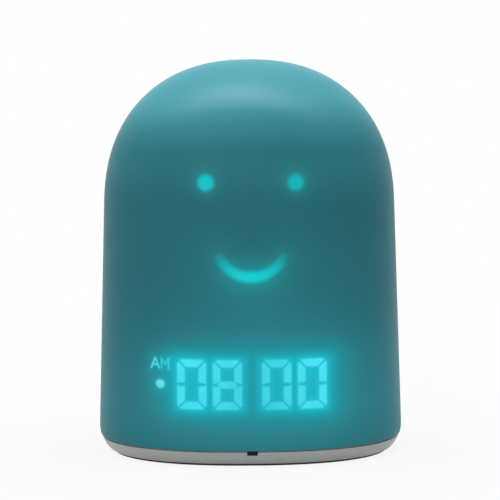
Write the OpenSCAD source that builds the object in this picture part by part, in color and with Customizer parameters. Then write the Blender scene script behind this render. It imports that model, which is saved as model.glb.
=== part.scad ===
// Children's alarm clock with a night light. A translucent dome stands on a pale
// base tray. Light boxes behind the front wall draw a smiling face and the clock
// digits on it, lamps on a shelf light the crown, and a flat panel in the back
// carries the loudspeaker, three push buttons, a slide switch and a supply socket.
// Millimetres, +Z up, the front faces -Y, origin at the middle of the footprint.

/* [Body] */
// Width of the dome at its widest
body_w = 105; // [101:1:125]
// Depth in front of the widest plane
front_d = 47; // [46:1:60]
// Depth behind the widest plane, to the flat back
back_d = 39; // [37:1:40]
// Height from the table to the crown
body_h = 135; // [132:1:160]
// Height where the wall turns into the dome
shoulder_z = 86; // [82:1:92]
// Height of the widest belt
belt_z = 9; // [8:0.5:10]
// How far the foot of the body turns in below the belt
toe_inset = 6; // [4:0.5:6.5]
// Squareness of the oval plan and of the dome, where 2 is an ellipse
squareness = 2.3; // [2.2:0.05:2.6]
// Draft of the wall above the belt, in degrees
draft_angle = 1.65; // [0.5:0.05:2]
// Rounding where the flat back meets the oval
back_blend = 5; // [3:0.5:6]
// Wall of the dome
shell_t = 2.2; // [1.6:0.1:2.6]

/* [Base] */
// Underside of the tray, above the table
base_z = 0.8; // [0.8:0.1:1.2]
// Height of the joint between tray and dome
seam_z = 5.6; // [5.4:0.1:7]
// How far the tray stands back from the dome at the joint
seam_step = 0.3; // [0.2:0.1:0.6]
// Floor of the tray
floor_t = 2; // [1.6:0.1:2.4]
// Tongue that rises inside the dome
tongue_h = 3.6; // [2.5:0.1:4.5]
// Wall of the tongue
tongue_t = 1.5; // [1.2:0.1:2]
// Width of the non-slip ring
foot_w = 2.6; // [2:0.1:2.8]
// Depth of the groove that holds the non-slip ring
foot_groove = 0.9; // [0.6:0.1:1.1]
// Width of the microphone slot in the front of the tray
slot_w = 3.6; // [3:0.1:5]
// Height of the microphone slot
slot_h = 1.6; // [1.2:0.1:2]

/* [Face and clock display] */
// Height of the middle of the digits
digit_z = 28.2; // [28:0.2:32]
// Height of one digit
digit_h = 16.8; // [14:0.2:18]
// Width of one digit
digit_w = 10.1; // [8.6:0.1:10.6]
// Width of one bar of a digit
bar_w = 2.3; // [1.8:0.1:2.6]
// Pitch of the two digits in a pair
digit_pitch = 12; // [11.6:0.1:12.4]
// Pitch across the middle of the display
centre_pitch = 16.2; // [15.6:0.1:17]
// Height of the eyes
eye_z = 96; // [94:0.5:98]
// Distance between the eyes
eye_pitch = 30; // [26:0.5:31]
// Diameter of an eye
eye_d = 5.6; // [4:0.1:6.4]
// Height of the lowest point of the smile's middle line
smile_z = 64.5; // [62:0.5:66]
// Radius of the smile's middle line
smile_r = 11.8; // [10:0.1:14]
// Width of the smile's stroke
smile_w = 3.6; // [2.6:0.1:4.4]
// Half the angle that the smile spans
smile_angle = 58; // [45:1:65]
// Setback of the display board's face from the front of the dome
display_setback = 13.6; // [13:0.1:15]

/* [Back panel] */
// Radius of the arched opening in the back
opening_r = 24; // [24:0.5:26]
// Bottom of the opening
opening_z = 11.5; // [11:0.5:12.5]
// Centre of the arch and of the loudspeaker
arch_z = 57; // [56:1:60]
// Sink of the panel below the flat back
panel_sink = 0.6; // [0.2:0.1:0.7]
// Thickness of the ledge that the panel rests on
ledge_t = 2; // [1.6:0.1:2.6]
// Width of the ledge inside the opening
ledge_w = 2.6; // [2:0.1:3]
// Radius of a sound hole
sound_hole_r = 0.9; // [0.6:0.1:1.1]
// Pitch of the rings of sound holes
sound_pitch = 3.1; // [2.8:0.1:3.2]
// Rings of sound holes round the middle one
sound_rings = 4; // [2:1:4]

/* [Buttons, switch and socket] */
// Height of the row of push buttons
button_z = 31.5; // [31:0.5:32.5]
// Pitch of the push buttons
button_pitch = 13.5; // [12.5:0.1:14]
// Diameter of a push button
button_d = 9; // [7:0.2:9.6]
// How far a push button stands proud of the panel
button_proud = 0.6; // [0.4:0.1:1.6]
// Travel of a push button
button_travel = 0.5; // [0.3:0.05:0.6]
// Height of the row with the switch and the socket
socket_z = 19.5; // [19:0.5:20.5]
// Distance of the switch and of the socket from the middle
socket_x = 9.5; // [8.5:0.5:11]
// Travel of the slide switch
switch_travel = 3; // [2:0.2:3.2]

/* [Loudspeaker] */
// Radius of the loudspeaker's basket
speaker_r = 17; // [16:0.2:17.2]
// Depth of the loudspeaker from its rim to its back plate
speaker_depth = 17.5; // [16:0.5:20]
// Radius of the magnet
magnet_r = 9.5; // [9:0.5:11]
// Excursion of the cone each way
cone_travel = 0.6; // [0.3:0.1:0.8]

/* [Boards and lamps] */
// Thickness of every circuit board
pcb_t = 1.6; // [1:0.1:2]
// Width of the main board
main_w = 60; // [56:1:62]
// Depth of the main board
main_d = 38; // [34:1:40]
// Height of the lamp shelf
shelf_z = 90; // [88:1:92]
// Number of lamps on the shelf
lamp_count = 8; // [4:1:10]
// Radius of the ring of lamps
lamp_ring_r = 15; // [13:0.5:16]
// Width of the backup battery
battery_w = 50; // [44:1:52]
// Height of the backup battery
battery_h = 34; // [30:1:36]
// Thickness of the backup battery
battery_t = 7; // [5:0.5:8]

/* [Screws and clearances] */
// Radius of a screw's shank
screw_r = 1.3; // [1:0.1:1.5]
// Radius of a screw's head
screw_head_r = 2.5; // [2:0.1:2.6]
// Length of a base screw under its head
base_screw_l = 14; // [12:0.5:16]
// Radius of a panel screw's shank
panel_screw_r = 1; // [0.9:0.05:1.1]
// Length of a panel screw under its head
panel_screw_l = 7; // [6:0.5:8]
// Clearance round a fixed piece
fit_gap = 0.2; // [0.1:0.05:0.3]
// Clearance round a moving piece
run_gap = 0.3; // [0.2:0.05:0.4]

/* [Hidden] */

// Colours
teal = [0.20, 0.50, 0.55];
pale_grey = [0.80, 0.82, 0.82];
white = [0.93, 0.93, 0.92];
rubber_grey = [0.22, 0.23, 0.24];
board_green = [0.10, 0.38, 0.24];
steel = [0.72, 0.73, 0.75];
black = [0.10, 0.10, 0.11];
cyan_light = [0.35, 0.90, 0.95];
warm_light = [0.98, 0.92, 0.70];
copper = [0.75, 0.45, 0.25];
battery_blue = [0.20, 0.32, 0.55];

// Fineness
$fn = 48;
plan_steps = 80;      // points round the plan
outer_steps = 15;     // rings up the dome outside
inner_steps = 9;      // rings up the dome inside
toe_steps = 4;        // rings round the toe of the tray
over = 1;             // how far a cut runs past the face it opens

// The body's own frame
mid_y = (front_d - back_d) / 2;
front_y = mid_y - front_d;
back_y = mid_y + back_d;
floor_z = base_z + floor_t;
tongue_gap = shell_t + fit_gap;
tongue_top_z = seam_z + tongue_h;
foot_edge = seam_step + 0.9;
microphone_d = 3.2;

// The frame bonded inside the dome, and the base screws that reach it
frame_z = tongue_top_z + fit_gap;
frame_h = 8;
frame_t = 1.8;
frame_top_z = frame_z + frame_h;
base_boss_dy = 20;
base_boss_inset = 9.5;
base_boss_r = screw_r + 2.2;
base_head_h = 1.8;
base_head_z = floor_z + 0.8;
base_boss_h = base_head_z + base_screw_l + 1.5 - tongue_top_z;
sleeve_r = screw_head_r + run_gap + 1.2;

// The back panel, its ledge and its screws
panel_back_y = back_y - shell_t;
panel_face_y = back_y - panel_sink;
opening_corner = 5;
rim_grow = 1.6;
rim_back = 1.2;
panel_head_r = panel_screw_r + 0.9;
panel_head_h = 1;
panel_boss_r = panel_screw_r + 1.2;
panel_boss_l = panel_screw_l + 0.6;
panel_screw_at = opening_r - panel_head_r - 1.3;
panel_screw_angle = 38;
ledge_y = panel_back_y - ledge_t;

// Small screws in circuit boards
small_screw_r = 0.8;
small_head_r = 1.6;
small_head_h = 0.9;

// The display: board, light boxes, chassis
board_face_y = front_y + display_setback;
board_back_y = board_face_y + pcb_t;
spacer_h = 2;
chassis_t = 2;
chassis_y = board_back_y + spacer_h;
chassis_back_y = chassis_y + chassis_t;
chassis_foot_z = floor_z + 3;
foot_t = 2.4;
foot_reach = 10;
foot_half_w = 30;
chassis_screw_y = chassis_back_y + 5.3;
chassis_screw_x = [-24, 24];
wall_clear = 0.8;
low_z = digit_z + digit_h / 2 + 4;
arch_base_z = shoulder_z - 9;
film_t = 0.3;
film_gap = 0.15;
mask_edge = 1.4;
mask_wall = 1.2;
mask_z = digit_z - digit_h / 2 - mask_edge;
mask_h = digit_h + 2 * mask_edge;
label_h = 3.4;
label_w = 6.8;
label_x = -centre_pitch / 2 - digit_pitch - digit_w / 2 - label_w / 2 - 1.5;
label_z = digit_z + digit_h / 2 - label_h / 2 - 0.4;
dot_d = 3;
face_plate_t = 2;
lamp_chip = [1.6, 0.6, 0.8];
ribbon_t = 0.3;

// The control board, and what moves on it
tact_w = 6;
tact_h = 2.8;
tact_cover_t = 0.3;
plunger_r = 1.7;
plunger_free = button_travel + 0.3;
plunger_sunk = 0.9;
flange_t = 1.1;
flange_lip = 0.9;
cap_edge = 0.5;
dish_depth = 0.25;
button_flange_y = panel_back_y - fit_gap - flange_t;
tact_top_y = button_flange_y - plunger_free;
control_face_y = tact_top_y - tact_cover_t - tact_h;
control_back_y = control_face_y - pcb_t;
control_half_w = button_pitch + 4.6;
control_bottom_z = socket_z - 5;
control_top_z = button_z + 7.5;
post_r = 1.6;
knob_w = 3.6;
knob_h = 2.6;
knob_proud = 0.5;
knob_flange_t = 0.8;
knob_flange_h = 4;
knob_flange_y = panel_back_y - fit_gap - knob_flange_t;
knob_stem = [2, 1.4];
knob_at = -socket_x - switch_travel / 2;
slot_half = knob_w / 2 + switch_travel / 2 + run_gap;
switch_can = [8.6, 4.4];
switch_top_y = knob_flange_y - run_gap;
usb_w = 7.6;
usb_h = 2.6;
usb_wall = 0.3;
usb_face_y = panel_face_y - 0.3;

// The loudspeaker, along +Y
gasket_t = 0.7;
rim_y = panel_back_y - gasket_t;
rim_t = 0.8;
rim_w = 2.4;
basket_t = 0.8;
plate_t = 1.5;
magnet_h = 5;
speaker_back_y = rim_y - speaker_depth;
gap_y = speaker_back_y + plate_t + magnet_h;
basket_y = gap_y + plate_t;
coil_t = 0.4;
coil_gap = 0.3;
coil_r = 6.3;
pole_r = coil_r - coil_t - coil_gap;
gap_r = coil_r + coil_gap;
basket_floor_r = coil_r + 5;
cone_r = speaker_r - rim_w - 2.3;
cone_y = rim_y - 1.1;
cone_t = 0.5;
surround_y = cone_y - cone_t;
window_w = 10;
neck_y = basket_y + 2.6;
spider_y = basket_y + basket_t + 0.8;
collar_t = 0.9;
collar_h = 1.9;

// The lamp shelf
shelf_t = 2.4;
lamp_board_r = lamp_ring_r + 5;
lamp_y = chassis_back_y + lamp_board_r + 5;
lamp_side = 5;
lamp_h = 1.6;
lead_drop = 7;

// The main board
main_z = floor_z + 5;
main_top_z = main_z + pcb_t;
main_y = chassis_back_y + foot_reach + 1.5 + main_d / 2;
connector_h = 2.6;
main_screw_in = 3.5;
standoff_r = 2.4;

// The battery and its bracket
battery_z = chassis_foot_z + 6;
battery_back_y = chassis_back_y + battery_t;
bracket_t = 1.2;
bracket_z = battery_z + battery_h / 2 + 1;
bracket_w = 9;
bracket_foot = 6;

// Leads
lead_r = 0.55;
lead_sides = 10;
lead_pitch = 1.6;
display_socket_z = frame_top_z + 3;
control_socket_z = socket_z - 1;
main_connector_y = [main_y - main_d / 2 + 3, main_y + main_d / 2 - 5];
battery_lead_x = 19;
speaker_lead_x = -14;

// The body's form: how the wall draws in with height, and the oval at each height
function falloff(u) = u >= 1 ? 0 : pow(1 - pow(u, squareness), 1 / squareness);
function toe(z) = z < belt_z ? toe_inset * (1 - sqrt(1 - pow((belt_z - z) / belt_z, 2))) : 0;
function inset(z) = toe(z) + tan(draft_angle) * max(z - belt_z, 0);
function rise(z, t) = max(z - shoulder_z, 0) / (body_h - t - shoulder_z);
function half_w(z, t) = (body_w / 2 - t - inset(z)) * falloff(rise(z, t));
function half_d(z, t) = (front_d - t - inset(z)) * falloff(rise(z, t));
function soft_min(a, b, r) = min(a, b) - pow(max(r - abs(a - b), 0), 2) / (4 * r);
function signed_pow(v, e) = sign(v) * pow(abs(v), e);
function oval_y(a, z, t) = mid_y + half_d(z, t) * signed_pow(sin(a), 2 / squareness);
function clipped(y, z, t) = y > mid_y ? soft_min(y, back_y - t - toe(z), back_blend) : y;

// One ring of points round the body at height z, a wall of t inside the surface
function ring(z, t) = [for (i = [0 : plan_steps - 1])
    let (a = 360 * i / plan_steps)
    [half_w(z, t) * signed_pow(cos(a), 2 / squareness), clipped(oval_y(a, z, t), z, t), z]];

// Half the width at y, and the front face's y at x, a wall of t inside the surface
function inside_x(y, z, t) = half_w(z, t) * falloff(abs(y - mid_y) / half_d(z, t));
function inside_front_y(x, z, t) = mid_y - half_d(z, t) * falloff(abs(x) / half_w(z, t));

// Heights of the rings up the wall and over the dome
function dome_z(i, steps, t) =
    shoulder_z + (body_h - t - shoulder_z) * pow(sin(90 * i / steps), 2 / squareness);
function wall_levels(steps, t) = concat(
    [seam_z, (seam_z + belt_z) / 2, belt_z, (belt_z + shoulder_z) / 2],
    [for (i = [0 : steps - 1]) dome_z(i, steps, t)]);
function reversed(v) = [for (i = [len(v) - 1 : -1 : 0]) v[i]];

// Widths that the body leaves for the display board and the chassis
board_low_w = inside_x(board_face_y, low_z, shell_t) - wall_clear;
board_high_w = min(inside_x(board_face_y, shoulder_z, shell_t),
    inside_x(board_face_y, frame_top_z, tongue_gap + frame_t)) - wall_clear;

// The microphone stands behind the slot in the tray's front
microphone_y = inside_front_y(0, seam_z, tongue_gap + tongue_t) + 0.1;
microphone_z = seam_z - slot_h / 2;

// Screw points: base and main board in X and Y, the rest in X and Z
base_screw_points = [for (sx = [-1, 1], sy = [-1, 1])
    let (y = mid_y + sy * base_boss_dy)
    [sx * (inside_x(y, frame_top_z, shell_t) - base_boss_inset), y]];
main_screw_points = [for (sx = [-1, 1], sy = [-1, 1])
    [sx * (main_w / 2 - main_screw_in), main_y + sy * (main_d / 2 - main_screw_in)]];
panel_screw_points = concat(
    [for (side = [-1, 1])
        [side * panel_screw_at * cos(panel_screw_angle), arch_z + panel_screw_at * sin(panel_screw_angle)]],
    [for (side = [-1, 1]) [side * (opening_r - 3.4), opening_z + 3.6]]);
control_posts = concat(
    [for (side = [-1, 1]) [side * button_pitch / 2, button_z + 5.6]],
    [for (side = [-1, 1]) [side * (button_pitch + 2.7), button_z - 7.1]]);
mask_screw_x = centre_pitch / 2 + digit_pitch + digit_w / 2 + 4.2;
board_screw_points = concat(
    [for (side = [-1, 1]) [side * mask_screw_x, digit_z - 6.5]],
    [[0, digit_z + 6.5], [0, eye_z - 2], [0, smile_z + smile_r]]);
bracket_screw_x = battery_w / 2 + fit_gap + bracket_t + bracket_foot / 2;

// The seven bars of a digit: each is its middle in X and Z, and the turn of the bar
bar_x = (digit_w - bar_w) / 2;
bar_z = (digit_h - bar_w) / 2;
bars = concat(
    [for (row = [-1, 0, 1]) [0, row * bar_z, 0]],
    [for (side = [-1, 1], row = [-1, 1]) [side * bar_x, row * bar_z / 2, 90]]);
digit_xs = [for (side = [-1, 1], out = [0, 1]) side * (centre_pitch / 2 + out * digit_pitch)];
eye_xs = [-eye_pitch / 2, eye_pitch / 2];

// ---- Building blocks ----

// A closed skin over rings of points, with a point at each end
module skin(rings, first, last) {
    n = len(rings[0]);
    m = len(rings);
    polyhedron(
        points = concat([first], [for (r = rings) each r], [last]),
        faces = concat(
            [for (i = [0 : n - 1]) [0, 1 + (i + 1) % n, 1 + i]],
            [for (j = [0 : m - 2], i = [0 : n - 1])
                [1 + j * n + i, 1 + j * n + (i + 1) % n, 1 + (j + 1) * n + i]],
            [for (j = [0 : m - 2], i = [0 : n - 1])
                [1 + j * n + (i + 1) % n, 1 + (j + 1) * n + (i + 1) % n, 1 + (j + 1) * n + i]],
            [for (i = [0 : n - 1]) [1 + (m - 1) * n + i, 1 + (m - 1) * n + (i + 1) % n, 1 + m * n]]),
        convexity = 6);
}

// The body's outline at height z, a wall of t inside the surface
module plan(z, t) polygon([for (p = ring(z, t)) [p[0], p[1]]]);

// An outline in X and Z, given thickness along +Y from y
module slab(y, t) translate([0, y + t, 0]) rotate([90, 0, 0]) linear_extrude(t) children();

// A profile of radius and Y, turned about a line along Y through x and z
module turned(x, z) translate([x, 0, z]) rotate([-90, 0, 0]) rotate_extrude() children();

// A round bar along +Y
module rod(x, z, r, y0, y1) translate([x, y0, z]) rotate([-90, 0, 0]) cylinder(r = r, h = y1 - y0);

// A rectangle about the origin with round corners
module rounded(w, h, r) {
    square([w - 2 * r, h], center = true);
    square([w, h - 2 * r], center = true);
    for (sx = [-1, 1], sy = [-1, 1]) translate([sx * (w / 2 - r), sy * (h / 2 - r)]) circle(r);
}

// The outline of the arched opening in the back, grown by a margin
module arch(grow) {
    r = opening_r + grow;
    corner = opening_corner + grow;
    translate([0, arch_z]) circle(r, $fn = 96);
    translate([-r, opening_z - grow + corner]) square([2 * r, arch_z - opening_z + grow - corner]);
    translate([corner - r, opening_z - grow]) square([2 * (r - corner), 2 * corner]);
    for (side = [-1, 1]) translate([side * (r - corner), opening_z - grow + corner]) circle(corner);
}

// A pan-head screw, its head's underside at the origin and its shank along -Z
module screw(r, l, head_r, head_h) {
    difference() {
        union() {
            translate([0, 0, -l]) cylinder(r = r, h = l);
            cylinder(r1 = head_r, r2 = head_r * 0.75, h = head_h);
        }
        for (a = [0, 90]) rotate(a) translate([-head_r / 2, -0.25, head_h / 2]) cube([head_r, 0.5, head_h]);
    }
}

// Two round leads side by side across X, along a list of points, with eased bends
function unit(v) = v / norm(v);
function eased(path, r) = [
    path[0],
    for (i = [1 : len(path) - 2])
        let (back = unit(path[i - 1] - path[i]) * r, ahead = unit(path[i + 1] - path[i]) * r)
        each [path[i] + back, path[i] + (back + ahead) * 0.29, path[i] + ahead],
    path[len(path) - 1]];
function heading(path, i) = unit(
    (i > 0 ? unit(path[i] - path[i - 1]) : [0, 0, 0])
    + (i < len(path) - 1 ? unit(path[i + 1] - path[i]) : [0, 0, 0]));
function lead_ring(path, i) =
    let (d = heading(path, i), side = unit(cross([1, 0, 0], d)), up = cross(side, d))
    [for (k = [0 : lead_sides - 1]) path[i]
        + lead_r * (cos(360 * k / lead_sides) * side - sin(360 * k / lead_sides) * up)];
module leads(points) {
    path = eased(points, 1.5);
    for (side = [-1, 1]) translate([side * lead_pitch / 2, 0, 0])
        skin([for (i = [0 : len(path) - 1]) lead_ring(path, i)], path[0], path[len(path) - 1]);
}

// A flat cable across X, along a list of points in Y and Z, mitred at its bends
function left_of(a, b) = let (d = unit(b - a)) [-d[1], d[0]];
function mitre(path, i) =
    i == 0 ? left_of(path[0], path[1])
    : i == len(path) - 1 ? left_of(path[i - 1], path[i])
    : let (n = unit(left_of(path[i - 1], path[i]) + left_of(path[i], path[i + 1])))
        n / (n * left_of(path[i], path[i + 1]));
module ribbon(path, w) {
    upper = [for (i = [0 : len(path) - 1]) path[i] + mitre(path, i) * ribbon_t / 2];
    lower = [for (i = [0 : len(path) - 1]) path[i] - mitre(path, i) * ribbon_t / 2];
    translate([-w / 2, 0, 0]) rotate([90, 0, 90]) linear_extrude(w) polygon(concat(upper, reversed(lower)));
}

// ---- Casing ----

module shell() {
    color(teal)
    difference() {
        skin(concat(
            [for (z = reversed(wall_levels(inner_steps, shell_t))) ring(z, shell_t)],
            [for (z = wall_levels(outer_steps, 0)) ring(z, 0)]),
            [0, mid_y, body_h - shell_t], [0, mid_y, body_h]);
        slab(panel_back_y - 4 * over, shell_t + 5 * over) arch(0);
    }
}

// The solid block of the tray: its toe up to the joint, and the tongue above it
module tray_block() {
    toe_rings = [for (i = [0 : toe_steps]) ring(base_z + (seam_z - base_z) * i / toe_steps, seam_step)];
    tongue_ring = ring(seam_z, tongue_gap);
    skin(concat(toe_rings, [tongue_ring], [[for (p = tongue_ring) [p[0], p[1], tongue_top_z]]]),
        [0, mid_y, base_z], [0, mid_y, tongue_top_z]);
}

// The tray's hollow from height z up, which leaves posts standing, each an x, a y and a radius
module hollow(z, posts) {
    translate([0, 0, z]) linear_extrude(tongue_top_z + over - z) difference() {
        plan(seam_z, tongue_gap + tongue_t);
        for (p = posts) translate([p[0], p[1]]) circle(p[2]);
    }
}

// The tray stands on its ring; the microphone listens through the slot in its front
module base_tray() {
    slot_depth = 12;
    sleeves = [for (p = base_screw_points) [p[0], p[1], sleeve_r]];
    standoffs = [for (p = main_screw_points) [p[0], p[1], standoff_r]];
    chassis_posts = [for (x = chassis_screw_x) [x, chassis_screw_y, base_boss_r]];
    color(pale_grey)
    difference() {
        tray_block();
        hollow(floor_z, concat(sleeves, standoffs, chassis_posts));
        hollow(chassis_foot_z, concat(sleeves, standoffs));
        hollow(main_z, sleeves);
        for (p = base_screw_points) translate([p[0], p[1], base_z - over]) {
            cylinder(r = screw_head_r + run_gap, h = over + base_head_z - base_z);
            cylinder(r = screw_r + run_gap, h = tongue_top_z + over);
        }
        for (p = main_screw_points) translate([p[0], p[1], floor_z])
            cylinder(r = small_screw_r, h = main_z);
        for (x = chassis_screw_x) translate([x, chassis_screw_y, floor_z])
            cylinder(r = screw_r, h = main_z);
        translate([0, 0, base_z - over]) linear_extrude(over + foot_groove) difference() {
            plan(base_z, foot_edge - 0.1);
            plan(base_z, foot_edge + foot_w + 0.1);
        }
        translate([-slot_w / 2, front_y - over, seam_z - slot_h]) cube([slot_w, slot_depth, slot_h]);
    }
}

module foot_ring() {
    color(rubber_grey)
    linear_extrude(base_z + foot_groove) difference() {
        plan(base_z, foot_edge);
        plan(base_z, foot_edge + foot_w);
    }
}

// A web from a screw boss out to the frame's wall
module boss_web(p) {
    reach = base_boss_inset + frame_t;
    translate([p[0] > 0 ? p[0] : p[0] - reach, p[1] - frame_t / 2, frame_z])
        cube([reach, frame_t, frame_h]);
}

module shell_frame() {
    color(white)
    difference() {
        union() {
            difference() {
                union() {
                    translate([0, 0, frame_z]) linear_extrude(frame_h) difference() {
                        plan(frame_top_z, tongue_gap);
                        plan(frame_top_z, tongue_gap + frame_t);
                    }
                    slab(ledge_y, ledge_t) arch(-fit_gap);
                    slab(ledge_y - rim_back / 2, ledge_t - rim_back / 2) arch(rim_grow);
                }
                slab(ledge_y - 2 * over, ledge_t + 3 * over) arch(-ledge_w);
                translate([-body_w / 2, 0, 0]) cube([body_w, body_w, frame_z]);
            }
            for (p = panel_screw_points)
                rod(p[0], p[1], panel_boss_r, panel_back_y - panel_boss_l, panel_back_y);
            for (p = base_screw_points) translate([p[0], p[1], tongue_top_z])
                cylinder(r = base_boss_r, h = base_boss_h);
            intersection() {
                translate([0, 0, frame_z]) linear_extrude(frame_h) plan(frame_top_z, tongue_gap);
                for (p = base_screw_points) boss_web(p);
            }
        }
        for (p = panel_screw_points)
            rod(p[0], p[1], panel_screw_r, panel_back_y - panel_boss_l - over, panel_back_y + over);
        for (p = base_screw_points) translate([p[0], p[1], tongue_top_z - over])
            cylinder(r = screw_r, h = base_boss_h + 2 * over);
    }
}

module base_screws() {
    color(steel)
    for (p = base_screw_points) translate([p[0], p[1], base_head_z]) rotate([180, 0, 0])
        screw(screw_r, base_screw_l, screw_head_r, base_head_h);
}

// ---- Back panel ----

// The sound holes, as rings of six, twelve and so on round a middle hole
module sound_holes() {
    circle(sound_hole_r, $fn = 24);
    for (k = [1 : sound_rings], i = [0 : 6 * k - 1])
        rotate(60 * i / k) translate([k * sound_pitch, 0]) circle(sound_hole_r, $fn = 24);
}

module rear_panel() {
    head_sink = panel_head_h + 0.2;
    color(pale_grey)
    difference() {
        union() {
            slab(panel_back_y, panel_face_y - panel_back_y) arch(-fit_gap);
            turned(0, arch_z) translate([speaker_r + fit_gap, panel_back_y - collar_h])
                square([collar_t, collar_h + over / 2]);
            for (p = control_posts) rod(p[0], p[1], post_r, control_face_y, panel_back_y + over / 2);
        }
        slab(panel_back_y - over, shell_t + 2 * over) translate([0, arch_z]) sound_holes();
        for (x = [-button_pitch, 0, button_pitch])
            rod(x, button_z, button_d / 2 + run_gap, panel_back_y - over, back_y + over);
        slab(panel_back_y - over, shell_t + 2 * over) translate([-socket_x, socket_z])
            square([2 * slot_half, knob_h + 2 * run_gap], center = true);
        slab(panel_back_y - over, shell_t + 2 * over) translate([socket_x, socket_z])
            rounded(usb_w + 2 * run_gap, usb_h + 2 * run_gap, usb_h / 2 - 0.2);
        for (p = panel_screw_points) {
            rod(p[0], p[1], panel_screw_r + run_gap, panel_back_y - over, back_y + over);
            rod(p[0], p[1], panel_head_r + run_gap, panel_face_y - head_sink, back_y + over);
        }
        for (p = control_posts)
            rod(p[0], p[1], small_screw_r, control_face_y - over, panel_back_y - 0.4);
    }
}

module panel_screws() {
    color(steel)
    for (p = panel_screw_points)
        translate([p[0], panel_face_y - panel_head_h - 0.2, p[1]]) rotate([-90, 0, 0])
            screw(panel_screw_r, panel_screw_l, panel_head_r, panel_head_h);
}

module grille_cloth() {
    color(black)
    rod(0, arch_z, speaker_r - rim_w - fit_gap, panel_back_y - 0.15, panel_back_y);
}

// ---- Chassis and display ----

// The chassis plate: a foot on the tray, an arched top, and a shelf for the night lamps
module chassis() {
    shelf_low_z = shelf_z - shelf_t;
    color(white)
    difference() {
        union() {
            slab(chassis_y, chassis_t) difference() {
                union() {
                    translate([-board_high_w, chassis_foot_z])
                        square([2 * board_high_w, arch_base_z - chassis_foot_z]);
                    translate([0, arch_base_z]) circle(board_high_w, $fn = 96);
                }
                for (side = [-1, 1]) translate([side * 22, (low_z + shelf_low_z) / 2])
                    rounded(9, shelf_low_z - low_z - 16, 3);
            }
            for (p = board_screw_points) rod(p[0], p[1], 2.6, board_back_y, chassis_y + over / 2);
            translate([-foot_half_w, chassis_y, chassis_foot_z])
                cube([2 * foot_half_w, chassis_t + foot_reach, foot_t]);
            translate([0, 0, shelf_low_z]) linear_extrude(shelf_t) {
                translate([0, lamp_y]) circle(lamp_board_r + 1.5, $fn = 96);
                translate([-lamp_board_r, chassis_y]) square([2 * lamp_board_r, lamp_y - chassis_y]);
            }
            for (side = [-1, 1]) translate([side * 16 - 1, 0, 0]) rotate([90, 0, 90]) linear_extrude(2)
                polygon([[chassis_y + over, shelf_z - 34], [chassis_back_y, shelf_z - 34],
                    [lamp_y + 12, shelf_low_z + over / 2], [chassis_y + over, shelf_low_z + over / 2]]);
            slab(chassis_y, chassis_t + battery_t * 0.5) for (side = [-1, 1])
                translate([side * (battery_w / 2 + fit_gap + 0.6) - 0.6, battery_z - 1.4])
                    square([1.2, bracket_z - battery_z - bracket_w / 2]);
            slab(chassis_y, chassis_t + battery_t * 0.5)
                translate([-battery_w / 2 - 1.4, battery_z - 1.4]) square([battery_w + 2.8, 1.2]);
        }
        for (p = board_screw_points) {
            rod(p[0], p[1], small_screw_r + run_gap, board_back_y - over, chassis_back_y + over);
            rod(p[0], p[1], small_head_r + run_gap, chassis_back_y - small_head_h - 0.1,
                chassis_back_y + over);
        }
        for (x = chassis_screw_x) translate([x, chassis_screw_y, chassis_foot_z - over])
            cylinder(r = screw_r + run_gap, h = foot_t + 2 * over);
        for (side = [-1, 1])
            rod(side * bracket_screw_x, bracket_z, small_screw_r, chassis_y - over, chassis_back_y + over);
        slab(chassis_y - over, chassis_t + 2 * over) {
            translate([0, chassis_foot_z + 4.4]) square([18, 3.2], center = true);
            translate([0, shelf_z - lead_drop]) rounded(6, 4, 1.8);
        }
        translate([0, lamp_y, shelf_low_z - over]) linear_extrude(shelf_t + 2 * over) rounded(7, 5, 2);
    }
}

module chassis_screws() {
    color(steel) {
        for (x = chassis_screw_x) translate([x, chassis_screw_y, chassis_foot_z + foot_t])
            screw(screw_r, foot_t + chassis_foot_z - floor_z - 0.4, screw_head_r, base_head_h);
        for (side = [-1, 1])
            translate([side * bracket_screw_x, chassis_back_y + bracket_t, bracket_z]) rotate([-90, 0, 0])
                screw(small_screw_r, bracket_t + chassis_t - 0.2, small_head_r, small_head_h);
    }
}

module display_board() {
    bottom_z = frame_top_z + 0.4;
    color(board_green)
    difference() {
        slab(board_face_y, pcb_t) {
            translate([-board_low_w, bottom_z]) square([2 * board_low_w, low_z - bottom_z]);
            translate([-board_high_w, bottom_z]) square([2 * board_high_w, arch_base_z - bottom_z]);
            translate([0, arch_base_z]) circle(board_high_w, $fn = 96);
        }
        for (p = board_screw_points)
            rod(p[0], p[1], small_screw_r + run_gap, board_face_y - over, board_back_y + over);
    }
}

module board_screws() {
    shank = chassis_t + spacer_h + pcb_t - small_head_h - 0.1 + face_plate_t - 0.2;
    color(steel)
    for (p = board_screw_points)
        translate([p[0], chassis_back_y - small_head_h - 0.1, p[1]]) rotate([-90, 0, 0])
            screw(small_screw_r, shank, small_head_r, small_head_h);
}

// One bar of a digit, with pointed ends
module bar(l) {
    tip = bar_w / 2;
    polygon([[-l / 2, 0], [tip - l / 2, tip], [l / 2 - tip, tip],
        [l / 2, 0], [l / 2 - tip, -tip], [tip - l / 2, -tip]]);
}

module digit_wells() {
    for (x = digit_xs, b = bars) translate([x + b[0], digit_z + b[1]]) rotate(b[2])
        bar((b[2] == 0 ? 2 * bar_x : bar_z) - 0.5);
}

// The light boxes of the clock: one well for each bar, one for the half-day mark, one for the dot
module digit_mask() {
    color(white)
    difference() {
        intersection() {
            translate([0, 0, mask_z]) linear_extrude(mask_h)
                plan(mask_z + mask_h, shell_t + film_gap + film_t);
            translate([-board_low_w, front_y, mask_z])
                cube([2 * board_low_w, board_face_y - front_y, mask_h]);
        }
        slab(front_y - over, display_setback + 2 * over) {
            digit_wells();
            translate([label_x, label_z]) rounded(label_w, label_h, 0.6);
            translate([label_x, digit_z]) circle(dot_d / 2);
        }
        for (p = board_screw_points) if (p[1] < low_z)
            rod(p[0], p[1], small_screw_r, board_face_y - face_plate_t, board_face_y + over);
    }
}

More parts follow.
